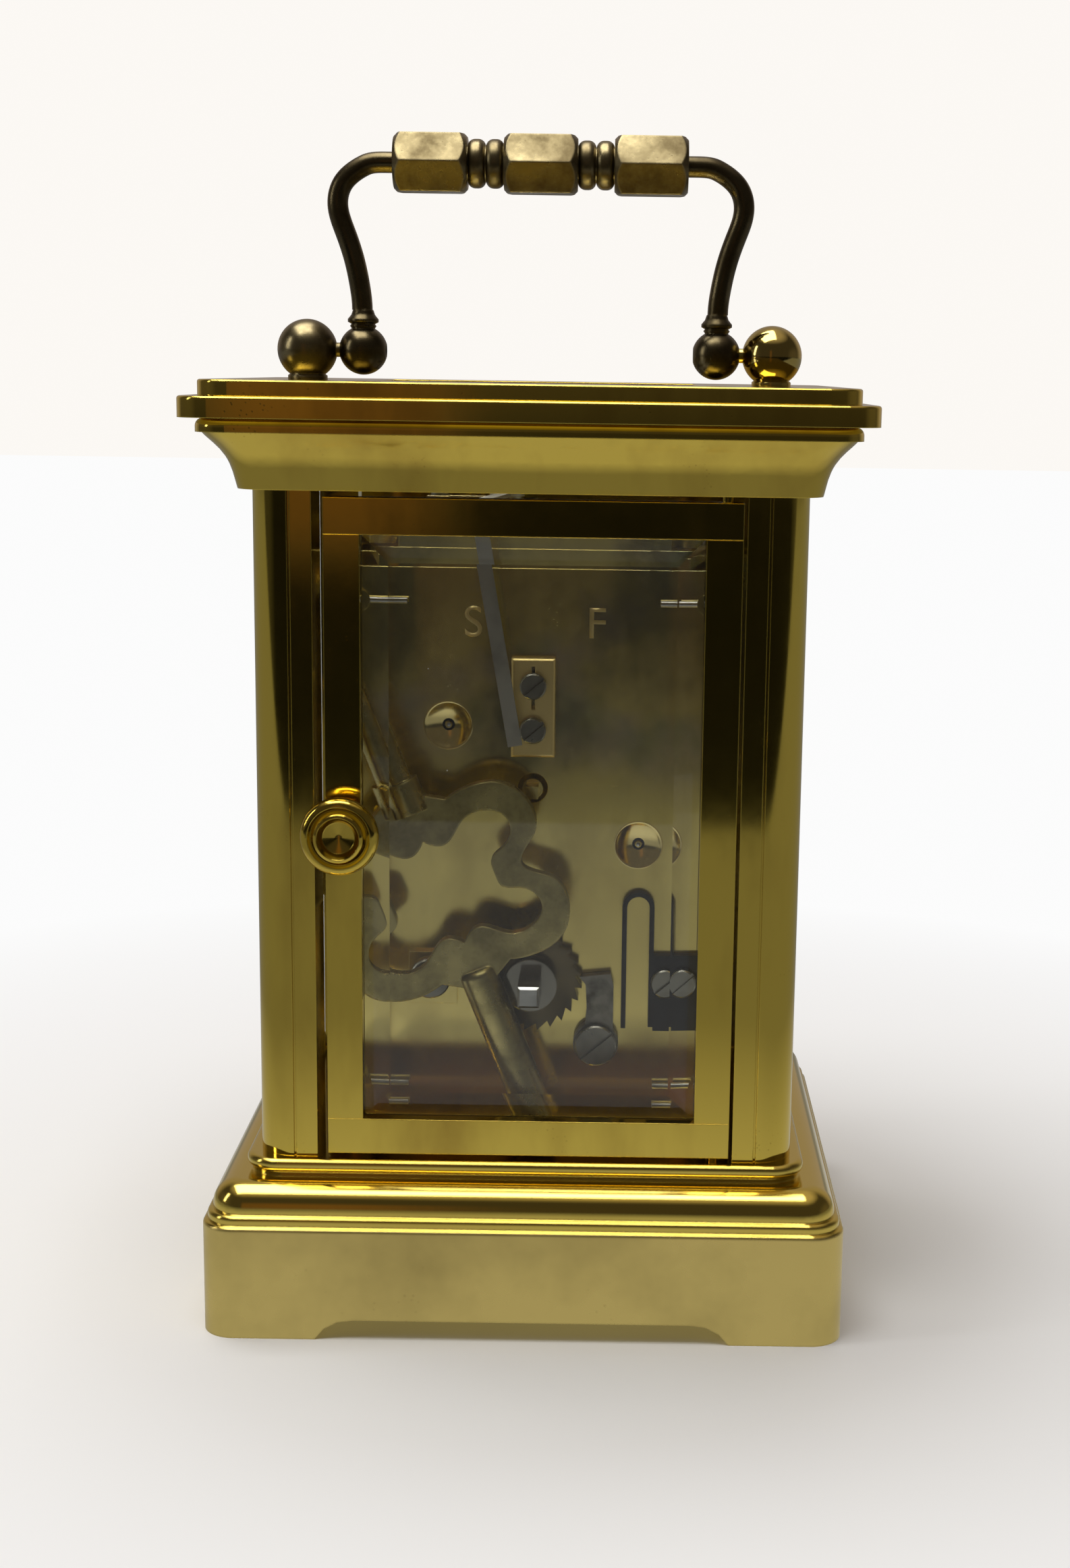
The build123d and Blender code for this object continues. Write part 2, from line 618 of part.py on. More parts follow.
def build_plate(y0, back):
    part = block(-plate_w / 2, plate_w / 2, y0, y0 + plate_t, base_h, plates_top)
    for at in pillar_spots():
        part -= rod_y(at, pillar_r * 0.6, y0 - 1, y0 + plate_t + 1)
    for at in (inter_at, third_at):
        part -= rod_y(at, pivot_tip_r + running_fit, y0 - 1, y0 + plate_t + 1)
    part -= rod_y(barrel_at, barrel_bush_r + running_fit, y0 - 1, y0 + plate_t + 1)
    if back:
        part -= rod_y(centre_at, 1.9, y0 - 1, y0 + plate_t + 1)
        part -= rod_y(contrate_at, pivot_tip_r + running_fit, y0 - 1, y0 + plate_t + 1)
        for at in (inter_at, third_at):
            cup = sink_cup(at)
            part -= cup
        for x, z, r, _ in plate_screw_spots:
            part -= rod_y((x, z), r * 0.5, back_y - screw_depth, back_y + 1)
    else:
        part -= rod_y(centre_at, 1.2 + running_fit, y0 - 1, y0 + plate_t + 1)
        part -= rod_y(contrate_at, pivot_tip_r + running_fit, y0 - 1, y0 + plate_t + 1)
        part -= rod_y(minute_at(), 0.8, y0 - 1, y0 + 1)
    for x, y in platform_screw_spots():
        part -= rod_z(x, y, tap_r, plates_top - 4, plates_top + 1)
    return part


def sink_cup(at):
    ball_r = (sink_r ** 2 + sink_deep ** 2) / (2 * sink_deep)
    return Pos(at[0], back_y - sink_deep + ball_r, at[1]) * Sphere(ball_r)


def build_movement_pillars():
    group = []
    for at in pillar_spots():
        part = rod_y(at, pillar_r, inner_front, inner_back)
        waist = rod_y(at, pillar_r, inner_front + 3, inner_back - 3)
        part -= waist - rod_y(at, pillar_r * 0.82, inner_front, inner_back)
        part += rod_y(at, pillar_r * 0.6, front_plate_y, inner_front)
        part += rod_y(at, pillar_r * 0.6, inner_back, back_y + 1.9)
        part -= rod_x(back_y + pin_y, at[1], pin_r, at[0] - pin_len, at[0] + pin_len)
        group.append(part)
    for x, y in movement_feet():
        hole = rod_z(x, y, screw_r, base_h, pillar_low - pillar_r + 0.8)
        group = [g - hole for g in group]
    return Compound(group)


def build_taper_pins():
    group = []
    for x, z in pillar_spots():
        side = -1 if x > 0 else 1
        start = x - side * pin_len * 0.42
        end = start + side * pin_len
        group.append(rod_x(back_y + pin_y, z, pin_r, min(start, end), max(start, end)))
    return Compound(group)


def build_potence():
    x0 = contrate_at[0] - potence_w / 2
    part = block(x0, x0 + potence_w, back_y, back_y + potence_t, potence_z0, potence_z1)
    rim = [e for e in part.edges() if abs(e.center().Y - back_y - potence_t) < 0.01]
    part = chamfer(rim, 0.25)
    upper, lower = plate_screw_spots[0], plate_screw_spots[1]
    split = block(-0.22, 0.22, back_y - 1, back_y + 3, lower[1] + 2.6, upper[1] + 2.4)
    part -= Pos(contrate_at[0], 0, 0) * split
    for x, z, r, _ in (upper, lower):
        part -= rod_y((x, z), r * 0.5, back_y - 1, back_y + 3)
    return part


def build_plate_screws():
    return Compound([slotted_screw(x, z, r, back_y + lift, back_y - screw_depth)
                     for x, z, r, lift in plate_screw_spots])


def build_bridge():
    """Small steady plate beside the barrel arbor."""
    x, z, r, lift = plate_screw_spots[4]
    part = block(x - 3.4, x + 2.8, back_y, back_y + lift, z - 3.5, z + 3.3)
    return part - rod_y((x, z), r * 0.5, back_y - 1, back_y + 3)


# ---------------------------------------------------------------- winding work
def build_ratchet():
    points = []
    for i in range(ratchet_n):
        tip = ratchet_phase + 360 * i / ratchet_n
        points.append(polar(barrel_at, ratchet_root, tip - 360 / ratchet_n))
        points.append(polar(barrel_at, ratchet_tip, tip - 0.4))
    y0 = back_y + ratchet_lift
    part = slab(outline(points), y0, y0 + ratchet_t)
    part += rod_y(barrel_at, hub_r, y0 + ratchet_t, y0 + ratchet_t + hub_t)
    part -= slab(Pos(*barrel_at) * Rectangle(square_w, square_w), y0 - 1, y0 + 9)
    return part



def build_barrel_arbor():
    part = rod_y(barrel_at, core_r, drum_y0 + drum_wall + 0.2, drum_y1 - drum_wall - 0.2)
    part += rod_y(barrel_at, barrel_bush_r, front_plate_y + 0.2, drum_y0 + drum_wall + 0.2)
    part += rod_y(barrel_at, barrel_bush_r, drum_y1 - drum_wall - 0.2, back_y + 0.1)
    square = slab(Pos(*barrel_at) * Rectangle(square_w, square_w), back_y + 0.1, square_end)
    tip = [e for e in square.edges() if abs(e.center().Y - square_end) < 0.01]
    return part + chamfer(tip, 0.3)


def build_barrel_drum():
    module = mesh_module(barrel_at, inter_at, barrel_teeth, inter_leaves)
    phase, _ = mesh_phases(barrel_at, inter_at, inter_leaves)
    part = rod_y(barrel_at, drum_r, drum_y0, drum_y1)
    part += slab(wheel_shape(barrel_at, barrel_teeth, module, phase), drum_y1 - 1.5, drum_y1)
    part -= rod_y(barrel_at, drum_r - drum_wall, drum_y0 + drum_wall, drum_y1 - drum_wall)
    part -= rod_y(barrel_at, barrel_bush_r + running_fit, drum_y0 - 1, drum_y1 + 1)
    return part


def spiral(centre, r0, r1, turns, thick, steps):
    """Flat ribbon wound from r0 out to r1."""
    inner, outer = [], []
    for i in range(int(turns * steps) + 1):
        share = i / (turns * steps)
        angle = 360 * turns * share
        r = r0 + (r1 - r0) * share
        inner.append(polar(centre, r, angle))
        outer.append(polar(centre, r + thick, angle))
    return outline(inner + outer[::-1])


def build_mainspring():
    out = drum_r - drum_wall
    thick = 0.35
    ribbon = spiral(barrel_at, core_r + 2.2, out - thick - 0.02, 9, thick, 20)
    return slab(ribbon, drum_y0 + drum_wall + 0.5, drum_y1 - drum_wall - 0.5)


def build_click():
    beak_a = ratchet_phase + 1.2
    # the beak rests in a gap of the ratchet, clear of both faces
    points = [polar(barrel_at, ratchet_tip - 0.35, beak_a + 0.6),
              polar(barrel_at, ratchet_tip + 1.0, beak_a + 0.4),
              (click_at[0] - 1.8, barrel_at[1] + 1.0), (click_at[0] - 2.2, barrel_at[1] - 0.6),
              (click_at[0] - 2.2, click_at[1]), (click_at[0] + 1.6, click_at[1]),
              (click_at[0] + 1.2, barrel_at[1] - 3.6),
              polar(barrel_at, ratchet_tip + 0.45, beak_a + 9.5)]
    shape = outline(points) + Pos(*click_at) * Circle(click_eye_r)
    part = slab(shape, back_y + 0.2, back_y + 0.2 + click_t)
    _, _, r, _ = plate_screw_spots[2]
    return part - rod_y(click_at, r * 0.5 + running_fit, back_y - 1, back_y + 3)


def build_click_spring():
    """Flat spring bent into an upturned U, held at the foot of one leg."""
    x_free, x_held = spring_legs_x
    r = abs(x_free - x_held) / 2
    arch_z = spring_top - r - spring_leg / 2
    middle = (x_free + x_held) / 2
    arch = Circle(r + spring_leg / 2) - Circle(r - spring_leg / 2)
    arch &= Pos(0, r) * Rectangle(4 * r, 2 * r)
    shape = Pos(middle, arch_z) * arch
    _, z, _, _ = plate_screw_spots[3]
    low_free, low_held = click_at[1] + 2.0, z - 6.0
    shape += Pos(x_free, (arch_z + low_free) / 2) * Rectangle(spring_leg, arch_z - low_free)
    shape += Pos(x_held, (arch_z + low_held) / 2) * Rectangle(spring_leg, arch_z - low_held)
    return slab(shape, back_y, back_y + 1.3)


def build_click_block():
    x, z, r, lift = plate_screw_spots[3]
    held = spring_legs_x[1]
    x0 = -plate_w / 2 + 0.2
    part = block(x0, held - spring_leg / 2, back_y, back_y + lift, z - 6.5, z + 3.5)
    return part - rod_y((x, z), r * 0.5, back_y - 1, back_y + 3)


# ---------------------------------------------------------------- going train
def build_train():
    gap = 0.3
    inter_module = mesh_module(barrel_at, inter_at, barrel_teeth, inter_leaves)
    _, inter_gap = mesh_phases(barrel_at, inter_at, inter_leaves)
    wheel_y = drum_y0 - wheel_t - 0.6
    phase_i, centre_gap = mesh_phases(inter_at, centre_at, centre_leaves)
    module_i = mesh_module(inter_at, centre_at, inter_teeth, centre_leaves)
    inter = arbor(inter_at, inner_front + gap, inner_back - gap)
    inter += slab(pinion_shape(inter_at, inter_leaves, inter_module, inter_gap),
                  drum_y1 - 2.0, inner_back - gap)
    inter += crossed_wheel(inter_at, inter_teeth, module_i, phase_i, wheel_y, 2.2)

    phase_c, third_gap = mesh_phases(centre_at, third_at, third_leaves)
    module_c = mesh_module(centre_at, third_at, centre_teeth, third_leaves)
    centre_y = wheel_y - wheel_t - 1.2
    centre = rod_y(centre_at, 1.2, front_plate_y - 0.3, inner_back - gap)
    centre += rod_y(centre_at, 0.9, cannon_front() - 0.4, front_plate_y - 0.3)
    centre += rod_y(centre_at, 1.3, inner_back - gap, back_y + 0.6)
    centre += slab(Pos(*centre_at) * Rectangle(1.6, 1.6), back_y + 0.6, back_y + 3.4)
    centre += slab(pinion_shape(centre_at, centre_leaves, module_i, centre_gap),
                   wheel_y - 0.4, wheel_y + wheel_t + 0.6)
    centre += crossed_wheel(centre_at, centre_teeth, module_c, phase_c, centre_y, 2.6)

    third_y = inner_back - third_back_room
    phase_t, contrate_gap = mesh_phases(third_at, contrate_at, contrate_leaves)
    module_t = mesh_module(third_at, contrate_at, third_teeth, contrate_leaves)
    third = arbor(third_at, inner_front + gap, inner_back - gap)
    third += slab(pinion_shape(third_at, third_leaves, module_c, third_gap),
                  centre_y - 0.3, centre_y + wheel_t + 0.6)
    third += crossed_wheel(third_at, third_teeth, module_t, phase_t, third_y, 2.0)

    contrate = arbor(contrate_at, inner_front + gap, inner_back - gap, screw_depth + 0.1)
    contrate += slab(pinion_shape(contrate_at, contrate_leaves, module_t, contrate_gap),
                     third_y - 0.4, third_y + wheel_t + 0.8)
    ring_y = contrate_ring_y()
    dish = Circle(contrate_out) - crossings((0, 0), 2.0, contrate_in - 0.8, 4, 1.2)
    contrate += slab(Pos(*contrate_at) * dish, ring_y - 0.8, ring_y)
    for i in range(contrate_teeth):
        tooth = block(-0.17, 0.17, ring_y - 0.2, ring_y + face_tooth_h, contrate_in, contrate_out)
        tooth = Pos(contrate_at[0], 0, contrate_at[1]) * Rot(0, 360 * i / contrate_teeth, 0) * tooth
        contrate += tooth
    return {"intermediate_wheel": inter, "centre_wheel": centre, "third_wheel": third,
            "contrate_wheel": contrate}


def escape_pitch_r():
    middle = (contrate_out + contrate_in) / 2
    return middle * escape_leaves / contrate_teeth


def contrate_ring_y():
    """The face teeth meet the upright escape pinion at its pitch radius."""
    return escape_y - escape_pitch_r() - face_tooth_h + 0.3


# ---------------------------------------------------------------- platform
def platform_screw_spots():
    y_front, y_back = front_plate_y + plate_t / 2, back_y - plate_t / 2
    x = platform_w / 2 - 2.0
    return [(sx * x, y) for sx in (-1, 1) for y in (y_front, y_back)]


def escape_at():
    return (contrate_at[0], escape_y)


def pallet_at():
    e = escape_at()
    reach = escape_tip / cos(radians(30))
    return polar(e, reach, heading(e, balance_at))


def build_platform():
    z0, z1 = platform_z, platform_z + platform_t
    part = block(-platform_w / 2, platform_w / 2, front_plate_y, back_y, z0, z1)
    e = escape_at()
    toe_y = e[1] - pivot_tip_r - 0.15
    part += block(e[0] - 5.5, e[0] - 2.2, toe_y, e[1] + 1.5, hanger_z(), z0)
    part += block(e[0] - 5.5, e[0] + 1.2, toe_y, e[1] + 1.5, hanger_z() - 1.0, hanger_z())
    part -= rod_z(e[0], e[1], pivot_tip_r + running_fit, hanger_z() - 2, z1 + 1)
    for at in (pallet_at(), balance_at):
        part -= rod_z(at[0], at[1], pivot_tip_r + running_fit, z1 - 0.8, z1 + 1)
    for x, y in platform_screw_spots() + cock_screw_spots():
        part -= rod_z(x, y, tap_r, z0 - 1, z1 + 1)
    return part


def hanger_z():
    """Lower bearing of the escape arbor, just under its pinion."""
    return contrate_at[1] + contrate_in - 1.0


def cock_screw_spots():
    escape_foot = (escape_at()[0] - 8.0, escape_at()[1])
    balance_foot = (balance_at[0] + balance_r + 3.4, balance_at[1])
    return [escape_foot, balance_foot]


def build_platform_screws():
    z1 = platform_z + platform_t
    group = []
    tops = [z1] * 4 + [z1 + top for top in cock_top]
    depth = [z1 - 4.0] * 4 + [z1 - platform_t] * 2
    for (x, y), seat, low in zip(platform_screw_spots() + cock_screw_spots(), tops, depth):
        head = rod_z(x, y, 1.15, seat, seat + 0.7)
        head -= Pos(x, y, seat + 0.7) * Rot(0, 0, 30) * Box(4, 0.3, 0.7)
        group.append(head + rod_z(x, y, 0.5, low, seat))
    return Compound(group)


def build_escape_wheel():
    e = escape_at()
    z1 = platform_z + platform_t
    teeth = []
    for i in range(15):
        tip = heading(e, pallet_at()) + 12 + 24 * i
        teeth += [polar(e, escape_tip - 0.85, tip - 11), polar(e, escape_tip - 0.75, tip - 4),
                  polar(e, escape_tip, tip - 1.2), polar(e, escape_tip, tip + 0.8),
                  polar(e, escape_tip - 0.8, tip + 2.0)]
    part = level(outline(teeth), z1 + wheel_lift, z1 + wheel_lift + escape_wheel_t)
    part -= Pos(e[0], e[1], z1) * escape_windows()
    part += rod_z(e[0], e[1], pivot_tip_r, hanger_z() - 0.8, z1 + 2.4)
    part += rod_z(e[0], e[1], staff_r, z1 + 0.2, z1 + 1.5)
    leaves = gear(e, escape_leaves, 2 * escape_pitch_r() / escape_leaves,
                  90, 0.3, 1.2, 0.3)
    part += level(leaves, hanger_z() + 0.3, contrate_at[1] + contrate_out + 0.6)
    return part


def escape_windows():
    ring = Circle(escape_tip - 1.2) - Circle(0.9)
    for i in range(4):
        ring -= Rot(0, 0, 90 * i) * Pos(1.5, 0) * Rectangle(3, 0.35)
    return extrude(ring, amount=2)


def build_lever():
    p, e = pallet_at(), escape_at()
    z1 = platform_z + platform_t
    along = heading(p, balance_at)
    back = along + 180
    z0 = z1 + lever_lift
    part = rod_z(p[0], p[1], lever_hub_r, z0, z0 + lever_t)
    part += rod_z(p[0], p[1], pivot_tip_r, z1 - 0.7, z1 + 2.4)
    shape = None
    for side in (-1, 1):
        stone = polar(e, escape_tip + stone_out, along + side * 30)
        elbow = polar(p, 1.2, back + side * elbow_turn)
        limb = thin_bar(p, elbow, 0.6) + thin_bar(elbow, stone, 0.5)
        shape = limb if shape is None else shape + limb
    reach = distance(p, balance_at) - 2.1
    shape += thin_bar(p, polar(p, reach, along), 0.55)
    for side in (-1, 1):
        horn = polar(p, reach + 0.75, along + side * 9)
        shape += thin_bar(polar(p, reach - 0.1, along), horn, 0.3)
    return part + level(shape, z0, z0 + lever_t)


def thin_bar(a, b, width):
    middle = ((a[0] + b[0]) / 2, (a[1] + b[1]) / 2)
    bar = Pos(*middle) * Rot(0, 0, heading(a, b)) * Rectangle(distance(a, b) + width * 0.6, width)
    return bar


def build_balance():
    b = balance_at
    z1 = platform_z + platform_t
    rim_z = z1 + rim_lift
    ring = Circle(balance_r) - Circle(balance_r - balance_rim)
    ring += Rectangle(2 * balance_r - 0.4, 0.9) + Circle(1.1)
    part = level(Pos(*b) * ring, rim_z, rim_z + rim_t)
    part += rod_z(b[0], b[1], pivot_tip_r, z1 - 0.7, z1 + 6.2)
    part += rod_z(b[0], b[1], staff_r, z1 + 0.3, z1 + 5.0)
    part += rod_z(b[0], b[1], 1.05, z1 + 1.3, z1 + 1.7)
    for i in range(8):
        spot = polar(b, balance_r - 0.1, 22.5 + 45 * i)
        part += Pos(spot[0], spot[1], rim_z + rim_t / 2) * Rot(0, 90, 22.5 + 45 * i) * Cylinder(0.3, 0.9)
    return part


def build_hairspring():
    z1 = platform_z + platform_t
    ribbon = spiral(balance_at, 0.95, 3.3, 6, 0.12, 18)
    low = z1 + hairspring_lift
    part = level(ribbon, low, low + hairspring_h)
    end = polar(balance_at, 3.3 + 0.06, 0)
    return part + rod_z(end[0], end[1], 0.25, low, z1 + cock_under[1])


def build_escape_cock():
    e, p = escape_at(), pallet_at()
    foot = cock_screw_spots()[0]
    z1 = platform_z + platform_t
    shape = thin_bar(foot, e, 2.2) + thin_bar(e, p, 2.0) + Pos(*p) * Circle(1.2)
    part = level(shape, z1 + cock_under[0], z1 + cock_top[0])
    part += level(Pos(*foot) * Rectangle(2.6, 3.4), z1, z1 + cock_top[0])
    for at in (e, p):
        part -= rod_z(at[0], at[1], pivot_tip_r + running_fit, z1 + 1, z1 + 2.5)
    return part - rod_z(foot[0], foot[1], tap_r, z1 - 1, z1 + 4)


def build_balance_cock():
    foot = cock_screw_spots()[1]
    z1 = platform_z + platform_t
    z_arm, z_top = z1 + cock_under[1], z1 + cock_top[1]
    shape = thin_bar(foot, balance_at, 2.6) + Pos(*balance_at) * Circle(2.2)
    part = level(shape, z_arm, z_top)
    part += level(Pos(*foot) * Rectangle(3.0, 4.6), z1, z_top)
    part += rod_z(balance_at[0], balance_at[1], endpiece_r, z_top, z_top + 0.7)
    part -= rod_z(balance_at[0], balance_at[1], pivot_tip_r + running_fit, z_arm - 1, z1 + 6.25)
    end = polar(balance_at, 3.36, 0)
    part += rod_z(end[0], end[1], 0.45, z_arm - 0.01, z_arm + 0.5)
    return part - rod_z(foot[0], foot[1], tap_r, z1 - 1, z1 + 8)


def build_regulator():
    """Index that turns on the balance cock, with its tail bent down the back plate."""
    z0 = platform_z + platform_t + cock_top[1] + 0.02
    bend_y = back_y + potence_t + screw_cheese + 0.75
    bend = (7.6, bend_y)
    lower = (2.2, 71.3)
    ring = Pos(*balance_at) * (Circle(2.3) - Circle(endpiece_r + running_fit))
    shoulder = polar(balance_at, 2.0, heading(balance_at, bend))
    arm = thin_bar(shoulder, bend, 1.7)
    part = level(ring + arm, z0, z0 + 0.5)
    tail = thin_bar((bend[0] - 0.3, z0 + 0.2), lower, 1.8)
    part += slab(tail, bend_y + 0.35, bend_y + 0.85)
    return part & block(-40, 40, -40, 40, lower[1] - 1.2, z0 + 0.5)


# ---------------------------------------------------------------- motion work and dial
def minute_at():
    return polar(centre_at, motion_radius, motion_angle)


def cannon_front():
    return mask_y - dial_t - 1.7


def build_motion():
    minute = minute_at()
    module_1 = mesh_module(centre_at, minute, cannon_leaves, minute_teeth)
    module_2 = mesh_module(centre_at, minute, minute_leaves, hour_teeth)
    layer = front_plate_y - 0.5
    wheel_phase, cannon_gap = mesh_phases(minute, centre_at, cannon_leaves)
    hour_phase, small_gap = mesh_phases(centre_at, minute, minute_leaves)
    cannon = slab(pinion_shape(centre_at, cannon_leaves, module_1, cannon_gap), layer - 1.1, layer)
    cannon += rod_y(centre_at, 1.25, cannon_front(), layer)
    cannon -= rod_y(centre_at, 0.9, cannon_front() - 1, layer + 1)
    minute_wheel = slab(wheel_shape(minute, minute_teeth, module_1, wheel_phase),
                        layer - 1.0, layer - 0.2)
    minute_wheel += slab(pinion_shape(minute, minute_leaves, module_2, small_gap),
                         layer - 2.5, layer - 1.0)
    minute_wheel += rod_y(minute, 0.75, front_plate_y + 0.1, front_plate_y + 0.9)
    minute_wheel += rod_y(minute, 0.75, layer - 0.3, front_plate_y + 0.2)
    hour_y = layer - 2.4
    hour = slab(wheel_shape(centre_at, hour_teeth, module_2, hour_phase), hour_y, hour_y + 0.8)
    hour += rod_y(centre_at, 1.7, mask_y - dial_t - 0.9, hour_y + 0.8)
    hour -= rod_y(centre_at, 1.25 + running_fit, cannon_front() - 1, hour_y + 2)
    return {"cannon_pinion": cannon, "minute_wheel": minute_wheel, "hour_wheel": hour}


def build_dial():
    y_back = mask_y + mask_t
    disc = rod_y(centre_at, dial_r, mask_y - dial_t * 0.5, y_back)
    rim = [e for e in disc.edges() if abs(e.center().Y - mask_y + dial_t * 0.5) < 0.01]
    disc = fillet(rim, 0.3)
    return disc - rod_y(centre_at, 2.1, mask_y - 5, y_back + 1)


def build_mask():
    half = pillar_in_x - 0.4
    part = block(-half, half, mask_y, mask_y + mask_t, base_h + 0.1, body_top - mask_gap)
    part -= rod_y(centre_at, dial_r + dial_fit, mask_y - 1, mask_y + 2)
    part += rod_y(centre_at, dial_r + 0.8, mask_y + mask_t, mask_y + mask_t + 0.5)
    part -= rod_y(centre_at, dial_r - 3, mask_y - 1, mask_y + 3)
    for at in pillar_spots():
        foot = (at[0] * 0.95, at[1] - 4 if at[1] > centre_at[1] else at[1] + 4)
        part += rod_y(foot, 1.0, mask_y + mask_t, front_plate_y)
    return part


def build_hands():
    """Spade hour hand and slim minute hand, shown at eight minutes past ten."""
    hour_y = mask_y - dial_t - 0.35
    minute_y = hour_y - 1.0
    spade = [(0.55, 0.0), (0.45, 0.5), (1.5, 0.62), (1.75, 0.72), (1.1, 0.82), (0.35, 0.86),
             (0.0, 1.0)]
    slim = [(0.5, 0.0), (0.42, 0.45), (0.95, 0.72), (0.45, 0.84), (0.0, 1.0)]
    hands = {}
    for name, shape, length, y, bore, angle in (
            ("hour_hand", spade, hour_hand_len, hour_y, 1.7, 90 - 304),
            ("minute_hand", slim, minute_hand_len, minute_y, 1.25, 90 - 48)):
        side = [(w, z * length) for w, z in shape]
        points = side + [(-w, z) for w, z in reversed(side[:-1])]
        blade = Pos(*centre_at) * Rot(0, 0, angle - 90) * (outline(points) + Circle(bore + 0.8))
        blade -= Pos(*centre_at) * Circle(bore)
        hands[name] = slab(blade, y - hand_t, y)
    return hands


# ---------------------------------------------------------------- key
def build_key():
    """Double-ended key with a pierced bow, leaning behind the door."""
    right = Spline(*bow_outside[1:-1])
    points_in = bow_inside
    hole_right = Spline(*points_in)
    hole_left = Spline(*[(-x, y) for x, y in reversed(points_in)])
    hole = make_face(Wire(list(hole_right.edges()) + list(hole_left.edges())))
    a, b = bow_outside[0], bow_outside[1]
    c, d = bow_outside[-2], bow_outside[-1]
    left = Spline(*[(-x, y) for x, y in reversed(bow_outside[1:-1])])
    edges = (list(Polyline(a, b).edges()) + list(right.edges())
             + list(Polyline(c, d, (-d[0], d[1]), (-c[0], c[1])).edges()) + list(left.edges())
             + list(Polyline((-b[0], b[1]), (-a[0], a[1]), a).edges()))
    bow = make_face(Wire(edges)) - hole
    bow = extrude(Pos(0, 0, -key_bow_t / 2) * bow, amount=key_bow_t)
    overlap = 1.6
    big = extrude(Plane.XZ.offset(-overlap) * Circle(key_big_r), amount=key_big_len + overlap)
    rims = [e for e in big.edges() if abs(e.center().Y - overlap) < 0.01]
    big = fillet(rims, 0.8)
    big -= Pos(0, -key_big_len, 0) * Box(square_w + 0.2, 14, square_w + 0.2)
    small = extrude(Plane.XZ.offset(-(key_bow_len + key_small_len)) * Circle(key_small_r),
                    amount=key_small_len + overlap)
    small += extrude(Plane.XZ.offset(-(key_bow_len + 2.6)) * Circle(key_small_r + 0.7),
                     amount=2.6 + overlap)
    small -= Pos(0, key_bow_len + key_small_len, 0) * Box(1.9, 12, 1.9)
    part = bow + big + small
    upright = Plane(origin=(0, 0, 0), x_dir=(1, 0, 0), z_dir=(0, -1, 0))
    part = upright * Pos(0, key_big_len, 0) * part
    return Pos(key_foot[0], key_y, key_foot[1]) * Rot(0, key_lean, 0) * part


# ---------------------------------------------------------------- write
def build_all():
    parts = {"base_plinth": build_plinth(), "bottom_plate": build_floor()}
    for sy, row in ((-1, "front"), (1, "rear")):
        for sx, side in ((-1, "left"), (1, "right")):
            parts["pillar_" + row + "_" + side] = build_pillar(sx, sy)
    parts["side_glass_left"] = side_pane(-1)
    parts["side_glass_right"] = side_pane(1)
    parts["front_glass"] = front_pane()
    parts["cornice"] = build_cornice()
    parts["top_plate"] = build_top_plate()
    parts["top_glass"] = build_top_glass()
    parts["case_screws"] = build_case_screws()
    for side, name in ((-1, "left"), (1, "right")):
        parts["handle_post_" + name] = build_post(side)
        parts["handle_arm_" + name] = build_arm(side)
    parts["handle_grip"] = build_grip()
    parts.update(build_door())
    parts["back_plate"] = build_plate(inner_back, True)
    parts["front_plate"] = build_plate(front_plate_y, False)
    parts["movement_pillars"] = build_movement_pillars()
    parts["taper_pins"] = build_taper_pins()
    parts["potence"] = build_potence()
    parts["plate_screws"] = build_plate_screws()
    parts["steady_plate"] = build_bridge()
    parts["ratchet_wheel"] = build_ratchet()
    parts["barrel_arbor"] = build_barrel_arbor()
    parts["barrel_drum"] = build_barrel_drum()
    parts["mainspring"] = build_mainspring()
    parts["click"] = build_click()
    parts["click_spring"] = build_click_spring()
    parts["click_block"] = build_click_block()
    parts.update(build_train())
    parts["platform"] = build_platform()
    parts["platform_screws"] = build_platform_screws()
    parts["escape_wheel"] = build_escape_wheel()
    parts["pallet_lever"] = build_lever()
    parts["balance_wheel"] = build_balance()
    parts["hairspring"] = build_hairspring()
    parts["escape_cock"] = build_escape_cock()
    parts["balance_cock"] = build_balance_cock()
    parts["regulator"] = build_regulator()
    parts.update(build_motion())
    parts["dial"] = build_dial()
    parts["dial_mask"] = build_mask()
    parts.update(build_hands())
    parts["winding_key"] = build_key()
    return parts


os.makedirs("parts", exist_ok=True)
for name, shape in build_all().items():
    export_step(shape, "parts/" + name + ".step")
    print(name, round(shape.volume, 3))
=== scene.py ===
# Carriage clock seen from behind: brass case, bevelled glass and a key-wound movement.
import math

import bmesh
import bpy
from mathutils import Matrix, Vector


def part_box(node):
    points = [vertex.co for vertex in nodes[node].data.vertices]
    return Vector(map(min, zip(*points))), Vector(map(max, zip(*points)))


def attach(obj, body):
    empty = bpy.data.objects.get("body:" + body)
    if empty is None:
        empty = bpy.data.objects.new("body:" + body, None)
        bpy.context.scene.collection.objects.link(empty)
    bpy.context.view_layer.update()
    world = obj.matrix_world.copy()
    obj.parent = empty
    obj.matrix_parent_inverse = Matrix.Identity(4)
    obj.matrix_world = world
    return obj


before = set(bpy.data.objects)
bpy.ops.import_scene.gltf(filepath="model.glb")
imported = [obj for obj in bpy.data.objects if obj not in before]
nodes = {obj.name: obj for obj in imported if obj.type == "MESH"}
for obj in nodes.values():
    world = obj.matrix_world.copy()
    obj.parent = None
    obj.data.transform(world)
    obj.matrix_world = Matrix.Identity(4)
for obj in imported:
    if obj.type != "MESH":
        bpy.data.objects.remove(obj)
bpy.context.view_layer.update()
mm = 0.001
print("frame loaded with", len(nodes), "nodes")


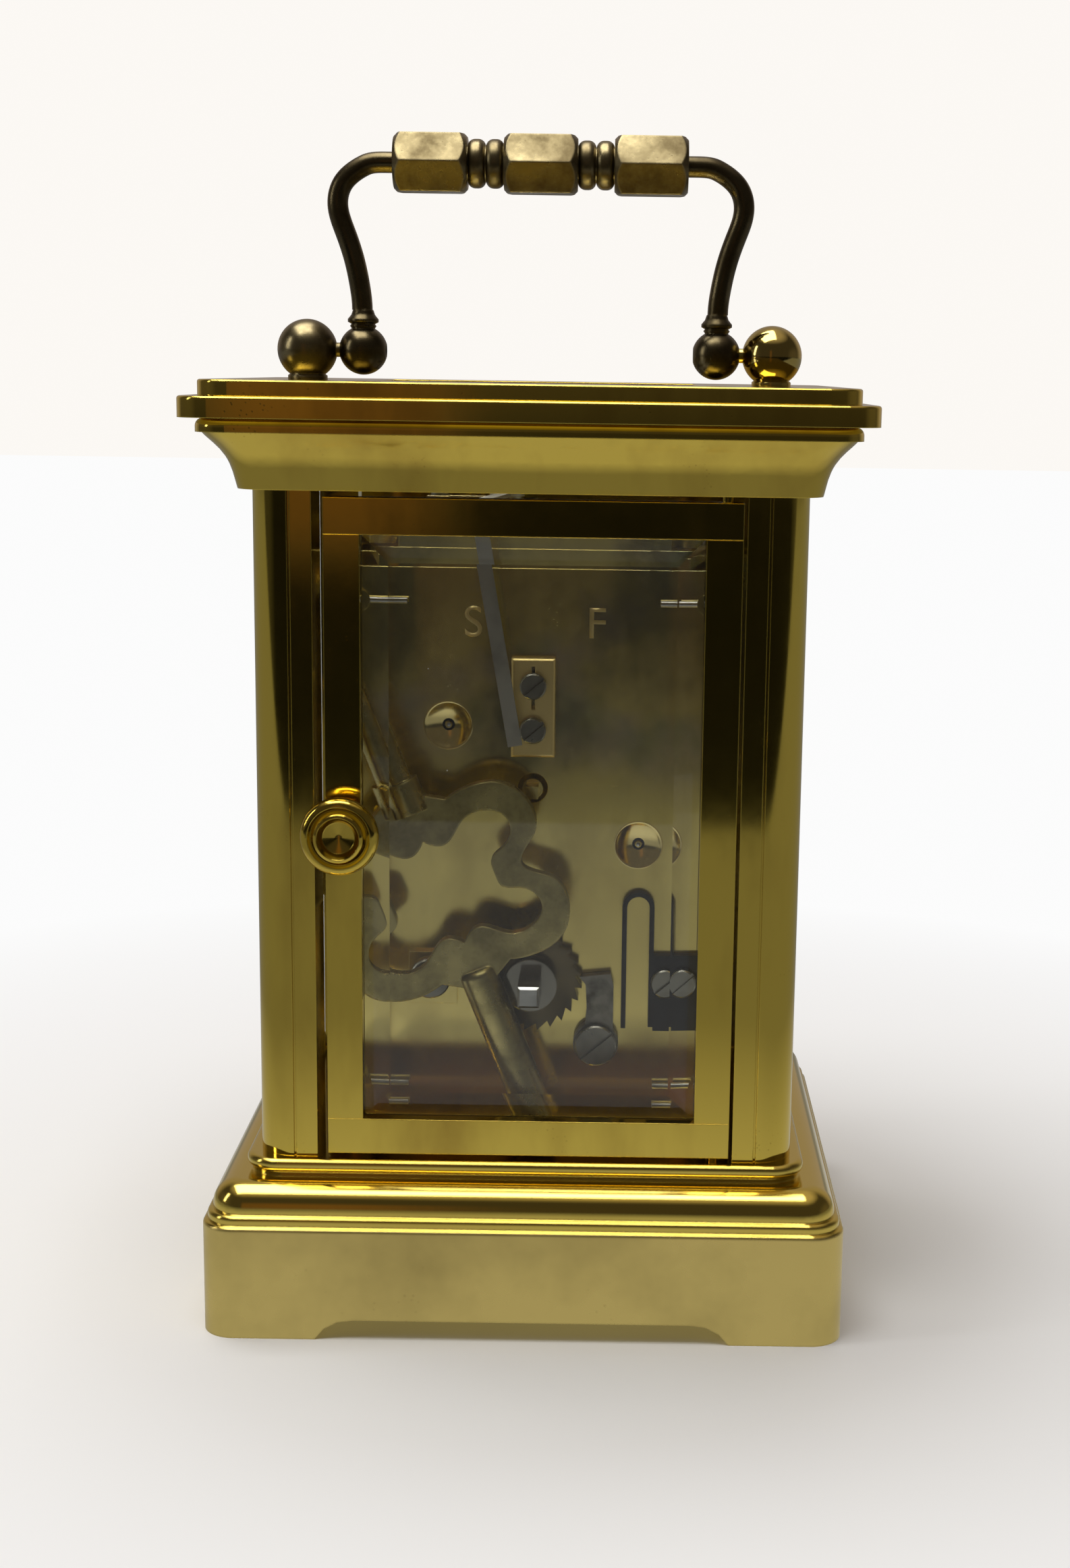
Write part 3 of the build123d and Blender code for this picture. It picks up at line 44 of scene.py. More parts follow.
# ---- shader maths: one wrapped socket, with ordinary operators
class Val:
    def __init__(self, tree, socket):
        self.tree = tree
        self.socket = socket

    def join(self, operation, other, swap=False):
        maths = self.tree.nodes.new("ShaderNodeMath")
        maths.operation = operation
        terms = (other, self) if swap else (self, other)
        for plug, term in zip(maths.inputs, terms):
            if isinstance(term, Val):
                self.tree.links.new(term.socket, plug)
            else:
                plug.default_value = term
        return Val(self.tree, maths.outputs[0])

    def __add__(self, other):
        return self.join("ADD", other)

    def __radd__(self, other):
        return self.join("ADD", other, True)

    def __sub__(self, other):
        return self.join("SUBTRACT", other)

    def __rsub__(self, other):
        return self.join("SUBTRACT", other, True)

    def __mul__(self, other):
        return self.join("MULTIPLY", other)

    def __rmul__(self, other):
        return self.join("MULTIPLY", other, True)

    def __truediv__(self, other):
        return self.join("DIVIDE", other)

    def __pow__(self, other):
        return self.join("POWER", other)

    def over(self, level):
        return self.join("GREATER_THAN", level)

    def under(self, level):
        return self.join("LESS_THAN", level)

    def atLeast(self, level):
        return self.join("MAXIMUM", level)

    def atMost(self, level):
        return self.join("MINIMUM", level)


class Finish:
    def __init__(self, name):
        self.material = bpy.data.materials.new(name)
        self.material.use_nodes = True
        self.tree = self.material.node_tree
        self.tree.nodes.clear()
        self.output = self.tree.nodes.new("ShaderNodeOutputMaterial")
        self.coords = self.node("ShaderNodeTexCoord", out="Object")

    def node(self, kind, settings=None, inputs=None, out=0):
        made = self.tree.nodes.new(kind)
        for key, value in (settings or {}).items():
            if key == "stops":
                self.setStops(made, value)
            else:
                setattr(made, key, value)
        for key, value in (inputs or {}).items():
            if isinstance(value, Val):
                self.tree.links.new(value.socket, made.inputs[key])
            else:
                made.inputs[key].default_value = value
        return Val(self.tree, made.outputs[out])

    def setStops(self, ramp, stops):
        points = ramp.color_ramp.elements
        while len(points) < len(stops):
            points.new(0.5)
        for point, (place, value) in zip(points, stops):
            point.position = place
            point.color = (value, value, value, 1) if isinstance(value, float) else (*value, 1)

    def stretched(self, scale):
        return self.node("ShaderNodeMapping", inputs={"Vector": self.coords, "Scale": scale})

    def noise(self, scale, detail=4.0, rough=0.55, where=None):
        return self.node("ShaderNodeTexNoise", inputs={
            "Vector": where or self.coords, "Scale": scale, "Detail": detail, "Roughness": rough})

    def spots(self, scale, where=None):
        return self.node("ShaderNodeTexVoronoi",
                         inputs={"Vector": where or self.coords, "Scale": scale}, out="Distance")

    def ramp(self, value, low, high, start=0.0, end=1.0):
        return self.node("ShaderNodeMapRange", {"clamp": True}, {
            "Value": value, "From Min": low, "From Max": high, "To Min": start, "To Max": end})

    def mix(self, share, colourA, colourB):
        made = self.tree.nodes.new("ShaderNodeMix")
        made.data_type = "RGBA"
        for plug, value in ((made.inputs[0], share), (made.inputs[6], colourA),
                            (made.inputs[7], colourB)):
            if isinstance(value, Val):
                self.tree.links.new(value.socket, plug)
            elif isinstance(value, tuple):
                plug.default_value = (*value, 1)
            else:
                plug.default_value = value
        return Val(self.tree, made.outputs[2])

    def bump(self, height, strength, depth):
        return self.node("ShaderNodeBump", inputs={
            "Height": height, "Strength": strength, "Distance": depth})

    def surface(self, **values):
        shader = self.tree.nodes.new("ShaderNodeBsdfPrincipled")
        for key, value in values.items():
            plug = shader.inputs[key.replace("_", " ")]
            if isinstance(value, Val):
                self.tree.links.new(value.socket, plug)
            elif isinstance(value, tuple) and len(value) == 3:
                plug.default_value = (*value, 1)
            else:
                plug.default_value = value
        return shader

    def close(self, shader):
        self.tree.links.new(shader.outputs[0], self.output.inputs[0])
        return self.material


# ---- finishes
polished = {"bright": (0.73, 0.545, 0.095), "aged": (0.43, 0.28, 0.05), "smooth": 0.055,
            "worn": 0.17, "patch": 38.0, "pit": 1500.0, "grain": 0.06, "edge": 0.00018,
            "edgeGlow": 0.5}
satin = {"bright": (0.80, 0.62, 0.20), "aged": (0.56, 0.43, 0.14), "smooth": 0.24, "worn": 0.36,
         "patch": 30.0, "pit": 900.0, "grain": 0.25, "edge": 0.0004, "edgeGlow": 0.4}
antique = {"bright": (0.32, 0.265, 0.14), "aged": (0.075, 0.053, 0.022), "smooth": 0.16,
           "worn": 0.34, "patch": 160.0, "pit": 1700.0, "grain": 0.3, "edge": 0.00035,
           "edgeGlow": 0.9}
movementBrass = {"bright": (1.0, 0.82, 0.28), "aged": (0.78, 0.62, 0.21), "smooth": 0.10,
                 "worn": 0.24, "patch": 70.0, "pit": 2000.0, "grain": 0.02, "edge": 0.0001,
                 "edgeGlow": 0.8}
# what some brass has above a height or round a hub: a glossier finish, a painted reflection in
# violet and green, a steel collar
glossLook = {"share": 0.75, "smoother": 0.62}
paintedReflectionLook = {"fade": 14 * mm, "violet": (0.42, 0.36, 0.46), "violetShare": 0.6,
             "green": (0.34, 0.42, 0.17), "greenShare": 0.55}
collarLook = {"colour": (0.30, 0.285, 0.24), "smoother": 0.5}


def brassFinish(name, look, agedShare=0.5, streak=(1, 1, 1), glossAbove=None, hub=None,
                paintedReflectionAbove=None):
    paint = Finish(name)
    where = paint.stretched(streak)
    cloud = paint.noise(look["patch"], 5.0, 0.6, where)
    aged = paint.ramp(cloud, 0.62 - 0.3 * agedShare, 0.80 - 0.2 * agedShare)
    fine = paint.noise(look["patch"] * 9, 3.0, 0.6)
    rounded = paint.node("ShaderNodeBevel", {"samples": 4}, {"Radius": look["edge"]})
    flat = paint.node("ShaderNodeNewGeometry", out="Normal")
    facing = paint.node("ShaderNodeVectorMath", {"operation": "DOT_PRODUCT"},
                        {0: rounded, 1: flat}, out="Value")
    # edges are mixed toward the bright brass colour: partly real wear rubbed through the tarnish,
    # partly a painted highlight along every edge
    wornEdgeAndHighlight = paint.ramp(facing, 0.998, 0.93) * look["edgeGlow"]
    colour = paint.mix(aged * (0.6 + 0.4 * fine), look["bright"], look["aged"])
    colour = paint.mix(wornEdgeAndHighlight.atMost(1.0), colour, look["bright"])
    pits = paint.ramp(paint.spots(look["pit"]), 0.05, 0.22, 1.0, 0.0)
    rare = paint.ramp(paint.noise(look["patch"] * 3, 2.0), 0.58, 0.72)
    pitMask = pits * rare
    darkened = paint.mix(pitMask * 0.55, colour, look["aged"])
    rough = look["smooth"] + (look["worn"] - look["smooth"]) * aged + 0.12 * pitMask + 0.05 * fine
    split = paint.tree.nodes.new("ShaderNodeSeparateXYZ")
    paint.tree.links.new(paint.coords.socket, split.inputs[0])
    x, y, z = [Val(paint.tree, plug) for plug in split.outputs]
    if glossAbove:
        raised = z.over(glossAbove)
        rough = rough * (1 - raised * glossLook["smoother"])
        darkened = paint.mix(raised * glossLook["share"], darkened, polished["bright"])
    # above a height the brass is clouded with darker violet and green: a painted reflection of the
    # room on the upper plate
    if paintedReflectionAbove:
        high = paint.ramp(z, paintedReflectionAbove, paintedReflectionAbove + paintedReflectionLook["fade"])
        violet = high * paint.ramp(paint.noise(48.0, 3.0), 0.46, 0.6)
        green = high * paint.ramp(paint.noise(36.0, 3.0, 0.5, paint.stretched((1.7, 1, 1.3))),
                                  0.52, 0.62)
        darkened = paint.mix(violet * paintedReflectionLook["violetShare"], darkened, paintedReflectionLook["violet"])
        darkened = paint.mix(green * paintedReflectionLook["greenShare"], darkened, paintedReflectionLook["green"])
    if hub:
        collar = ((x - hub[0]) ** 2 + (z - hub[1]) ** 2).under(hub[2] ** 2)
        darkened = paint.mix(collar, darkened, collarLook["colour"])
        rough = rough * (1 - collar * collarLook["smoother"])
    height = fine * 0.4 + pitMask * -1.0
    normal = paint.node("ShaderNodeBump", inputs={
        "Height": height, "Strength": look["grain"], "Distance": 0.00005, "Normal": rounded})
    return paint.close(paint.surface(Base_Color=darkened, Metallic=1.0, Roughness=rough,
                                     Normal=normal))


def steelFinish(name, bright, dark, rough, scale=400.0):
    paint = Finish(name)
    lines = paint.noise(scale, 4.0, 0.6)
    stain = paint.ramp(paint.noise(scale * 0.4, 3.0), 0.45, 0.7)
    colour = paint.mix(stain * 0.7 + 0.2 * lines, bright, dark)
    normal = paint.bump(lines, 0.25, 0.00004)
    return paint.close(paint.surface(Base_Color=colour, Metallic=1.0, Normal=normal,
                                     Roughness=rough + 0.2 * lines))


def glassFinish():
    paint = Finish("bevelled glass")
    specks = paint.ramp(paint.spots(330.0), 0.0, 0.035, 1.0, 0.0)
    some = paint.noise(60.0).over(0.6)
    film = 0.004 + 0.009 * paint.noise(45.0, 3.0)
    clear = paint.surface(Base_Color=(0.97, 0.985, 0.97), Roughness=0.0, IOR=1.5,
                          Transmission_Weight=1.0)
    dust = paint.surface(Base_Color=(0.85, 0.83, 0.76), Roughness=0.8)
    dusty = paint.tree.nodes.new("ShaderNodeMixShader")
    paint.tree.links.new((specks * some * 0.8 + film).socket, dusty.inputs[0])
    paint.tree.links.new(clear.outputs[0], dusty.inputs[1])
    paint.tree.links.new(dust.outputs[0], dusty.inputs[2])
    through = paint.tree.nodes.new("ShaderNodeBsdfTransparent")
    through.inputs[0].default_value = (0.93, 0.95, 0.92, 1)
    path = paint.tree.nodes.new("ShaderNodeLightPath")
    shadow = Val(paint.tree, path.outputs["Is Shadow Ray"])
    soft = Val(paint.tree, path.outputs["Is Diffuse Ray"])
    final = paint.tree.nodes.new("ShaderNodeMixShader")
    paint.tree.links.new(shadow.atLeast(soft).socket, final.inputs[0])
    paint.tree.links.new(dusty.outputs[0], final.inputs[1])
    paint.tree.links.new(through.outputs[0], final.inputs[2])
    return paint.close(final)


def enamelFinish():
    paint = Finish("white enamel")
    cloud = paint.noise(120.0, 3.0)
    colour = paint.mix(cloud * 0.5, (0.86, 0.85, 0.80), (0.80, 0.78, 0.71))
    normal = paint.bump(paint.noise(900.0, 2.0), 0.05, 0.00003)
    return paint.close(paint.surface(Base_Color=colour, Roughness=0.1, Normal=normal,
                                     Coat_Weight=0.6))


def inkFinish():
    paint = Finish("dial ink")
    cloud = paint.noise(1500.0, 2.0)
    colour = paint.mix(cloud, (0.012, 0.012, 0.014), (0.03, 0.03, 0.035))
    return paint.close(paint.surface(Base_Color=colour, Roughness=0.25 + 0.1 * cloud))


finishes = {
    "casePolished": brassFinish("polished case brass", polished, 0.35, (1, 1, 0.3)),
    "caseSatin": brassFinish("satin plinth brass", satin, 0.45, glossAbove=14.0 * mm),
    "handleBrass": brassFinish("tarnished handle brass", antique, 1.1),
    "armBrass": brassFinish("dark arm brass", dict(antique, bright=(0.15, 0.12, 0.062),
                                                   aged=(0.035, 0.025, 0.011)), 1.0),
    "goldBall": brassFinish("bright ball brass", dict(polished, bright=(0.56, 0.43, 0.13)), 0.2),
    "cutBrass": brassFinish("freshly cut brass", dict(satin, bright=(0.95, 0.74, 0.3), smooth=0.3),
                            0.0),
    "plateBrass": brassFinish("movement brass", movementBrass, 0.7, (1, 1, 0.6),
                              paintedReflectionAbove=62 * mm),
    "keyBrass": brassFinish("pitted key brass", dict(antique, bright=(0.56, 0.47, 0.19),
                                                     aged=(0.20, 0.165, 0.065), smooth=0.2,
                                                     grain=0.5), 0.9),
    "wheelBrass": brassFinish("dark wheel brass", dict(movementBrass, bright=(0.24, 0.19, 0.10),
                                                       aged=(0.03, 0.025, 0.014), edge=0.0002),
                              1.0, hub=(0.0, 39.9 * mm, 3.4 * mm)),
    "greySteel": steelFinish("grey steel", (0.34, 0.33, 0.28), (0.15, 0.145, 0.12), 0.2),
    "stainedSteel": steelFinish("stained steel", (0.28, 0.265, 0.22), (0.07, 0.065, 0.05), 0.25,
                                scale=1100.0),
    "brightSteel": steelFinish("bright arbor steel", (0.62, 0.61, 0.58), (0.3, 0.3, 0.28), 0.12),
    "flatSteel": steelFinish("flat index steel", (0.52, 0.50, 0.43), (0.28, 0.27, 0.23), 0.3),
    "pinSteel": steelFinish("taper pin steel", (0.5, 0.49, 0.45), (0.2, 0.19, 0.17), 0.22),
    "cupBrass": brassFinish("polished cup brass", dict(polished, bright=(0.98, 0.80, 0.34),
                                                       smooth=0.12), 0.0),
    "darkSteel": steelFinish("dark steel", (0.05, 0.05, 0.055), (0.02, 0.02, 0.022), 0.3),
    "blueSteel": steelFinish("blued steel", (0.03, 0.05, 0.16), (0.02, 0.025, 0.07), 0.2),
    "glass": glassFinish(),
    "enamel": enamelFinish(),
    "ink": inkFinish(),
}
print("finishes made:", len(finishes))

wearsFinish = {
    "casePolished": ["cornice", "top_plate", "pillar_front_left", "pillar_front_right",
                     "pillar_rear_left", "pillar_rear_right", "door_rail_top", "door_rail_bottom",
                     "door_stile_hinge", "door_stile_knob", "door_knob", "dial_mask"],
    "caseSatin": ["base_plinth", "bottom_plate"],
    "handleBrass": ["handle_grip", "handle_post_right"],
    "armBrass": ["handle_arm_left", "handle_arm_right"],
    "goldBall": ["handle_post_left"],
    "cutBrass": ["potence"],
    "plateBrass": ["front_plate", "back_plate", "movement_pillars", "platform", "steady_plate",
                   "escape_cock", "balance_cock", "barrel_drum", "intermediate_wheel",
                   "centre_wheel", "third_wheel", "contrate_wheel", "escape_wheel",
                   "balance_wheel", "cannon_pinion", "minute_wheel", "hour_wheel"],
    "keyBrass": ["winding_key"],
    "wheelBrass": ["ratchet_wheel"],
    "glass": ["top_glass", "side_glass_left", "side_glass_right", "front_glass", "door_glass"],
    "greySteel": ["case_screws", "platform_screws", "plate_screws", "pallet_lever"],
    "pinSteel": ["taper_pins"],
    "brightSteel": ["barrel_arbor"],
    "stainedSteel": ["click"],
    "flatSteel": ["regulator"],
    "darkSteel": ["click_block", "mainspring", "click_spring"],
    "blueSteel": ["hairspring", "hour_hand", "minute_hand"],
    "enamel": ["dial"],
}


def dress():
    for finish, names in wearsFinish.items():
        for name in names:
            mesh = nodes[name].data
            mesh.materials.clear()
            mesh.materials.append(finishes[finish])


dress()
print("nodes dressed")


# ---- stage: pale floor, soft lights, camera
stageLook = {"halfWidth": 2.0, "far": -2.5, "near": 0.33, "floor": (0.84, 0.84, 0.83),
             "backdrop": 0.97, "mirrored": (0.09, 0.16, 0.47, 0.22), "fade": (0.06, 0.20)}
eye = {"place": Vector((-10.7, 283.9, 117.0)) * mm, "down": 10.7, "roll": 0.88, "lens": 50.34,
       "shift": -0.0525}
# what the brass mirrors: strengths of the room's parts, by direction
roomLook = {"dark": 0.008, "wall": 0.05, "wallEdge": -0.045, "ceiling": 0.45,
            "ceilingEdge": 0.72, "behind": 0.30, "left": 0.03, "right": 0.05, "warm": 0.12,
            "tint": (1.0, 0.97, 0.93), "warmTint": (1.0, 0.55, 0.28)}
# place, aim, width, height, watts
lamps = {"overhead": ((0.12, 0.02, 0.75), (0, 0, 0), 0.6, 0.5, 5.0),
         "side": ((0.85, 0.25, 0.40), (0, 0, 0.05), 0.12, 0.5, 0.9)}


def makeFloor():
    half, far, near = stageLook["halfWidth"], stageLook["far"], stageLook["near"]
    mesh = bpy.data.meshes.new("floor")
    mesh.from_pydata([(-half, far, 0), (half, far, 0), (half, near, 0), (-half, near, 0)], [],
                     [(0, 1, 2, 3)])
    floor = bpy.data.objects.new("floor", mesh)
    bpy.context.scene.collection.objects.link(floor)
    paint = Finish("pale floor")
    glossy = paint.node("ShaderNodeLightPath", out="Glossy Depth").over(0.5)
    colour = paint.mix(paint.noise(6.0) * 0.3, stageLook["floor"], (0.80, 0.80, 0.79))
    away = paint.node("ShaderNodeVectorMath", {"operation": "LENGTH"}, {0: paint.coords},
                      out="Value")
    faded = paint.ramp(away, *stageLook["fade"]).atLeast(glossy)
    matt = paint.surface(Base_Color=colour, Roughness=0.7)
    glow = paint.tree.nodes.new("ShaderNodeEmission")
    # seen in reflections the floor is an emission, bright near the clock and dimmer further off: a
    # painted pool of light
    mirrored = paint.ramp(away, *stageLook["mirrored"])
    level = glossy * mirrored + (1 - glossy) * stageLook["backdrop"]
    paint.tree.links.new(level.socket, glow.inputs[1])
    blend = paint.tree.nodes.new("ShaderNodeMixShader")
    for plug, source in enumerate((faded.socket, matt.outputs[0], glow.outputs[0])):
        paint.tree.links.new(source, blend.inputs[plug])
    floor.data.materials.append(paint.close(blend))


def clamped(value):
    return value.atLeast(0).atMost(1)


def makeWorld():
    world = bpy.data.worlds.new("studio")
    bpy.context.scene.world = world
    world.use_nodes = True
    tree = world.node_tree
    tree.nodes.clear()
    coords = tree.nodes.new("ShaderNodeTexCoord")
    parts = tree.nodes.new("ShaderNodeSeparateXYZ")
    tree.links.new(coords.outputs["Generated"], parts.inputs[0])
    across, depth, up = [Val(tree, s) for s in parts.outputs]
    ceiling = clamped((up - roomLook["ceilingEdge"]) * 5) * roomLook["ceiling"]
    behind = clamped((-0.35 - depth) * 3) * roomLook["behind"]
    leftPane = clamped((across - 0.72) * 6) * clamped((0.6 - up) * 4)
    rightPane = clamped((-0.86 - across) * 8) * clamped((0.5 - up) * 4)
    lamp = clamped((across - 0.07) * 40) * clamped((0.2 - across) * 30)
    warm = lamp * clamped((depth - 0.9) * 20) * clamped((up + 0.09) * 60)
    wall = clamped((up - roomLook["wallEdge"]) * 30) * roomLook["wall"]
    room = roomLook["dark"] + wall + ceiling + behind + leftPane * roomLook["left"]
    room = room + rightPane * roomLook["right"] + warm * roomLook["warm"]
    path = tree.nodes.new("ShaderNodeLightPath")
    camera = Val(tree, path.outputs["Is Camera Ray"])
    unmirrored = Val(tree, path.outputs["Glossy Depth"]).under(0.5)
    seen = camera.atLeast(Val(tree, path.outputs["Is Transmission Ray"]) * unmirrored)
    strength = room * (1 - seen) + seen * stageLook["backdrop"]
    glow = tree.nodes.new("ShaderNodeBackground")
    tint = tree.nodes.new("ShaderNodeMix")
    tint.data_type = "RGBA"
    tint.inputs[6].default_value = (*roomLook["tint"], 1)
    tint.inputs[7].default_value = (*roomLook["warmTint"], 1)
    tree.links.new(((warm + wall * 5).atMost(1) * (1 - seen)).socket, tint.inputs[0])
    tree.links.new(tint.outputs[2], glow.inputs[0])
    tree.links.new(strength.socket, glow.inputs[1])
    final = tree.nodes.new("ShaderNodeOutputWorld")
    tree.links.new(glow.outputs[0], final.inputs[0])


def softLight(name, place, target, width, height, power):
    data = bpy.data.lights.new(name, "AREA")
    data.shape = "RECTANGLE"
    data.size = width
    data.size_y = height
    data.energy = power
    lamp = bpy.data.objects.new(name, data)
    lamp.location = place
    lamp.rotation_euler = (Vector(target) - Vector(place)).to_track_quat("-Z", "Y").to_euler()
    bpy.context.scene.collection.objects.link(lamp)


def makeCamera():
    data = bpy.data.cameras.new("camera")
    data.lens = eye["lens"]
    data.shift_x = eye["shift"]
    data.clip_start = 0.01
    camera = bpy.data.objects.new("camera", data)
    turn = Matrix.Rotation(math.pi, 4, "Z")
    turn = turn @ Matrix.Rotation(math.radians(90 - eye["down"]), 4, "X")
    turn = turn @ Matrix.Rotation(math.radians(eye["roll"]), 4, "Z")
    camera.matrix_world = Matrix.Translation(eye["place"]) @ turn
    bpy.context.scene.collection.objects.link(camera)
    bpy.context.scene.camera = camera


makeFloor()
makeWorld()
for lampName, lampLook in lamps.items():
    softLight(lampName, *lampLook)
makeCamera()
bpy.context.scene.view_settings.view_transform = "Standard"
print("stage set")


# ---- helpers for meshes
def addPiece(name, bm, finish, body="root", smooth=None):
    mesh = bpy.data.meshes.new(name)
    bm.to_mesh(mesh)
    bm.free()
    piece = bpy.data.objects.new(name, mesh)
    bpy.context.scene.collection.objects.link(piece)
    mesh.materials.append(finishes[finish])
    if smooth is not None:
        mesh.shade_smooth()
        mesh.set_sharp_from_angle(angle=math.radians(smooth))
    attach(piece, body)
    return piece


def readingFrame(side, x, y, z):
    # a flat pattern drawn in its own x and y, read from behind (1) or from the dial side (-1)
    return Matrix(((-side, 0, 0, x), (0, 0, side, y), (0, 1, 0, z), (0, 0, 0, 1)))


def turned(bm, profile, steps=48):
    # profile of (radius, height) pairs round local Z, from the outside inwards
    rings = []
    for radius, height in profile:
        if radius < 1e-7:
            rings.append([bm.verts.new((0, 0, height))])
            continue
        rings.append([bm.verts.new((radius * math.cos(2 * math.pi * i / steps),
                                    radius * math.sin(2 * math.pi * i / steps), height))
                      for i in range(steps)])
    for low, high in zip(rings, rings[1:]):
        for i in range(steps):
            j = (i + 1) % steps
            if len(high) == 1:
                bm.faces.new((low[i], low[j], high[0]))
            elif len(low) == 1:
                bm.faces.new((low[0], high[j], high[i]))
            else:
                bm.faces.new((low[i], low[j], high[j], high[i]))
    return bm


# ---- letters of the regulator, on the rear of the back plate
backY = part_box("back_plate")[1][1]
letterLook = {"height": 3.9 * mm, "z": 83.9 * mm, "slow": 8.9 * mm, "fast": -6.5 * mm,
              "depth": 0.03 * mm, "capShare": 0.7}


def makeLetter(name, text, x):
    curve = bpy.data.curves.new(name, "FONT")
    curve.body = text
    curve.size = letterLook["height"] / letterLook["capShare"]
    curve.extrude = letterLook["depth"]
    scratch = bpy.data.objects.new(name + "_text", curve)
    bpy.context.scene.collection.objects.link(scratch)
    graph = bpy.context.evaluated_depsgraph_get()
    mesh = bpy.data.meshes.new_from_object(scratch.evaluated_get(graph))
    bpy.data.objects.remove(scratch)
    mesh.transform(readingFrame(1, x, backY + letterLook["depth"], letterLook["z"]))
    mesh.materials.clear()
    mesh.materials.append(finishes["cutBrass"])
    piece = bpy.data.objects.new(name, mesh)
    bpy.context.scene.collection.objects.link(piece)
    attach(piece, "root")


makeLetter("letter_slow", "S", letterLook["slow"])
makeLetter("letter_fast", "F", letterLook["fast"])


# ---- oil sinks: a polished cup in the plate, a dark ring of painted shade round its bore, and the steel pivot at its middle
cupLook = {"radius": 3.0 * mm, "deep": 0.85 * mm, "film": 0.03 * mm, "hole": 0.78 * mm,
           "bore": 0.47 * mm, "lip": 0.12 * mm, "rings": 10}
pivotTip = [(0.0, -0.95), (0.36, -0.95), (0.36, -0.42), (0.26, -0.33), (0.0, -0.31)]
sinks = {"third": (10.75, 72.6), "intermediate": (-13.5, 57.5)}


def makeSink(body, x, z):
    radius, deep = cupLook["radius"], cupLook["deep"]
    ball = (radius ** 2 + deep ** 2) / (2 * deep)
    bottom = ball - deep
    profile = [(radius + cupLook["lip"], 0.0), (radius + cupLook["lip"] / 2, cupLook["film"])]
    for step in range(cupLook["rings"] + 1):
        r = radius + (cupLook["hole"] - radius) * step / cupLook["rings"]
        profile.append((r, bottom - math.sqrt(ball ** 2 - r ** 2) + cupLook["film"]))
    bm = turned(bmesh.new(), profile)
    bm.transform(readingFrame(1, x * mm, backY, z * mm))
    addPiece("oil_sink_" + body, bm, "cupBrass", "root", 60)
    # a flat dark steel ring from the cup's inner edge in to the bore: painted shade that makes the
    # bore look wider than it is
    rim = profile[-1][1]
    bm = turned(bmesh.new(), [(cupLook["hole"], rim), (cupLook["bore"], rim - cupLook["film"])], 32)
    bm.transform(readingFrame(1, x * mm, backY, z * mm))
    addPiece("oil_hole_" + body, bm, "darkSteel", "root")
    bm = turned(bmesh.new(), [(r * mm, h * mm) for r, h in pivotTip], 24)
    bm.transform(readingFrame(1, x * mm, backY, z * mm))
    addPiece("pivot_tip_" + body, bm, "brightSteel", body, 40)


for body, place in sinks.items():
    makeSink(body, *place)
print("sinks and letters made")


# ---- dial: hour numerals and a minute track
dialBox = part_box("dial")
dialFront = dialBox[0][1]
dialCentre = ((dialBox[0][0] + dialBox[1][0]) / 2, (dialBox[0][2] + dialBox[1][2]) / 2)
dialLook = {"numeralRadius": 13.6, "numeralHeight": 3.3, "thick": 0.62, "thin": 0.2, "serif": 0.16,
            "lift": 0.04, "trackIn": 16.1, "trackOut": 17.2, "line": 0.12, "tick": 0.16,
            "hourTick": 0.42, "strokeInset": 0.42, "serifInset": 0.12, "stack": 0.004}
numerals = ["XII", "I", "II", "III", "IIII", "V", "VI", "VII", "VIII", "IX", "X", "XI"]
advance = {"I": 1.2, "V": 2.35, "X": 2.45}


def stroke(x0, x1, width, height):
    # one leaning stroke from the foot at x0 to the head at x1
    half = width / 2
    return [(x0 - half, -height / 2), (x0 + half, -height / 2), (x1 + half, height / 2),
            (x1 - half, height / 2)]


def numeralShapes(text):
    height, thick, thin = dialLook["numeralHeight"], dialLook["thick"], dialLook["thin"]
    shapes = []
    x = -sum(advance[c] for c in text) / 2
    for c in text:
        middle, reach = x + advance[c] / 2, advance[c] / 2 - dialLook["strokeInset"]
        if c == "I":
            shapes.append(stroke(middle, middle, thick, height))
        elif c == "V":
            shapes.append(stroke(middle, middle - reach, thick, height))
            shapes.append(stroke(middle, middle + reach, thin, height))
        else:
            shapes.append(stroke(middle + reach, middle - reach, thick, height))
            shapes.append(stroke(middle - reach, middle + reach, thin, height))
        x += advance[c]
    half = sum(advance[c] for c in text) / 2 - dialLook["serifInset"]
    for end in (-1, 1):
        z = end * height / 2
        shapes.append([(-half, z - dialLook["serif"] / 2), (half, z - dialLook["serif"] / 2),
                       (half, z + dialLook["serif"] / 2), (-half, z + dialLook["serif"] / 2)])
    return shapes


def raised(bm, shape, place, lift):
    low = [bm.verts.new(place @ Vector((x * mm, y * mm, 0))) for x, y in shape]
    high = [bm.verts.new(place @ Vector((x * mm, y * mm, lift * mm))) for x, y in shape]
    bm.faces.new(high)
    bm.faces.new(low[::-1])
    for i in range(len(shape)):
        j = (i + 1) % len(shape)
        bm.faces.new((low[i], low[j], high[j], high[i]))


def makeNumerals():
    bm = bmesh.new()
    for hour, text in enumerate(numerals):
        turn = Matrix.Rotation(-math.radians(30 * hour), 4, "Z")
        out = Matrix.Translation((0, dialLook["numeralRadius"] * mm, 0))
        for number, shape in enumerate(numeralShapes(text)):
            raised(bm, shape, turn @ out, dialLook["lift"] + dialLook["stack"] * number)
    bm.transform(readingFrame(-1, dialCentre[0], dialFront, dialCentre[1]))
    addPiece("dial_numerals", bm, "ink", "root")


def nodeTree(name, sockets):
    tree = bpy.data.node_groups.new(name, "GeometryNodeTree")
    for label, kind in sockets:
        tree.interface.new_socket(label, in_out="INPUT", socket_type=kind)
    tree.interface.new_socket("Geometry", in_out="OUTPUT", socket_type="NodeSocketGeometry")
    return tree


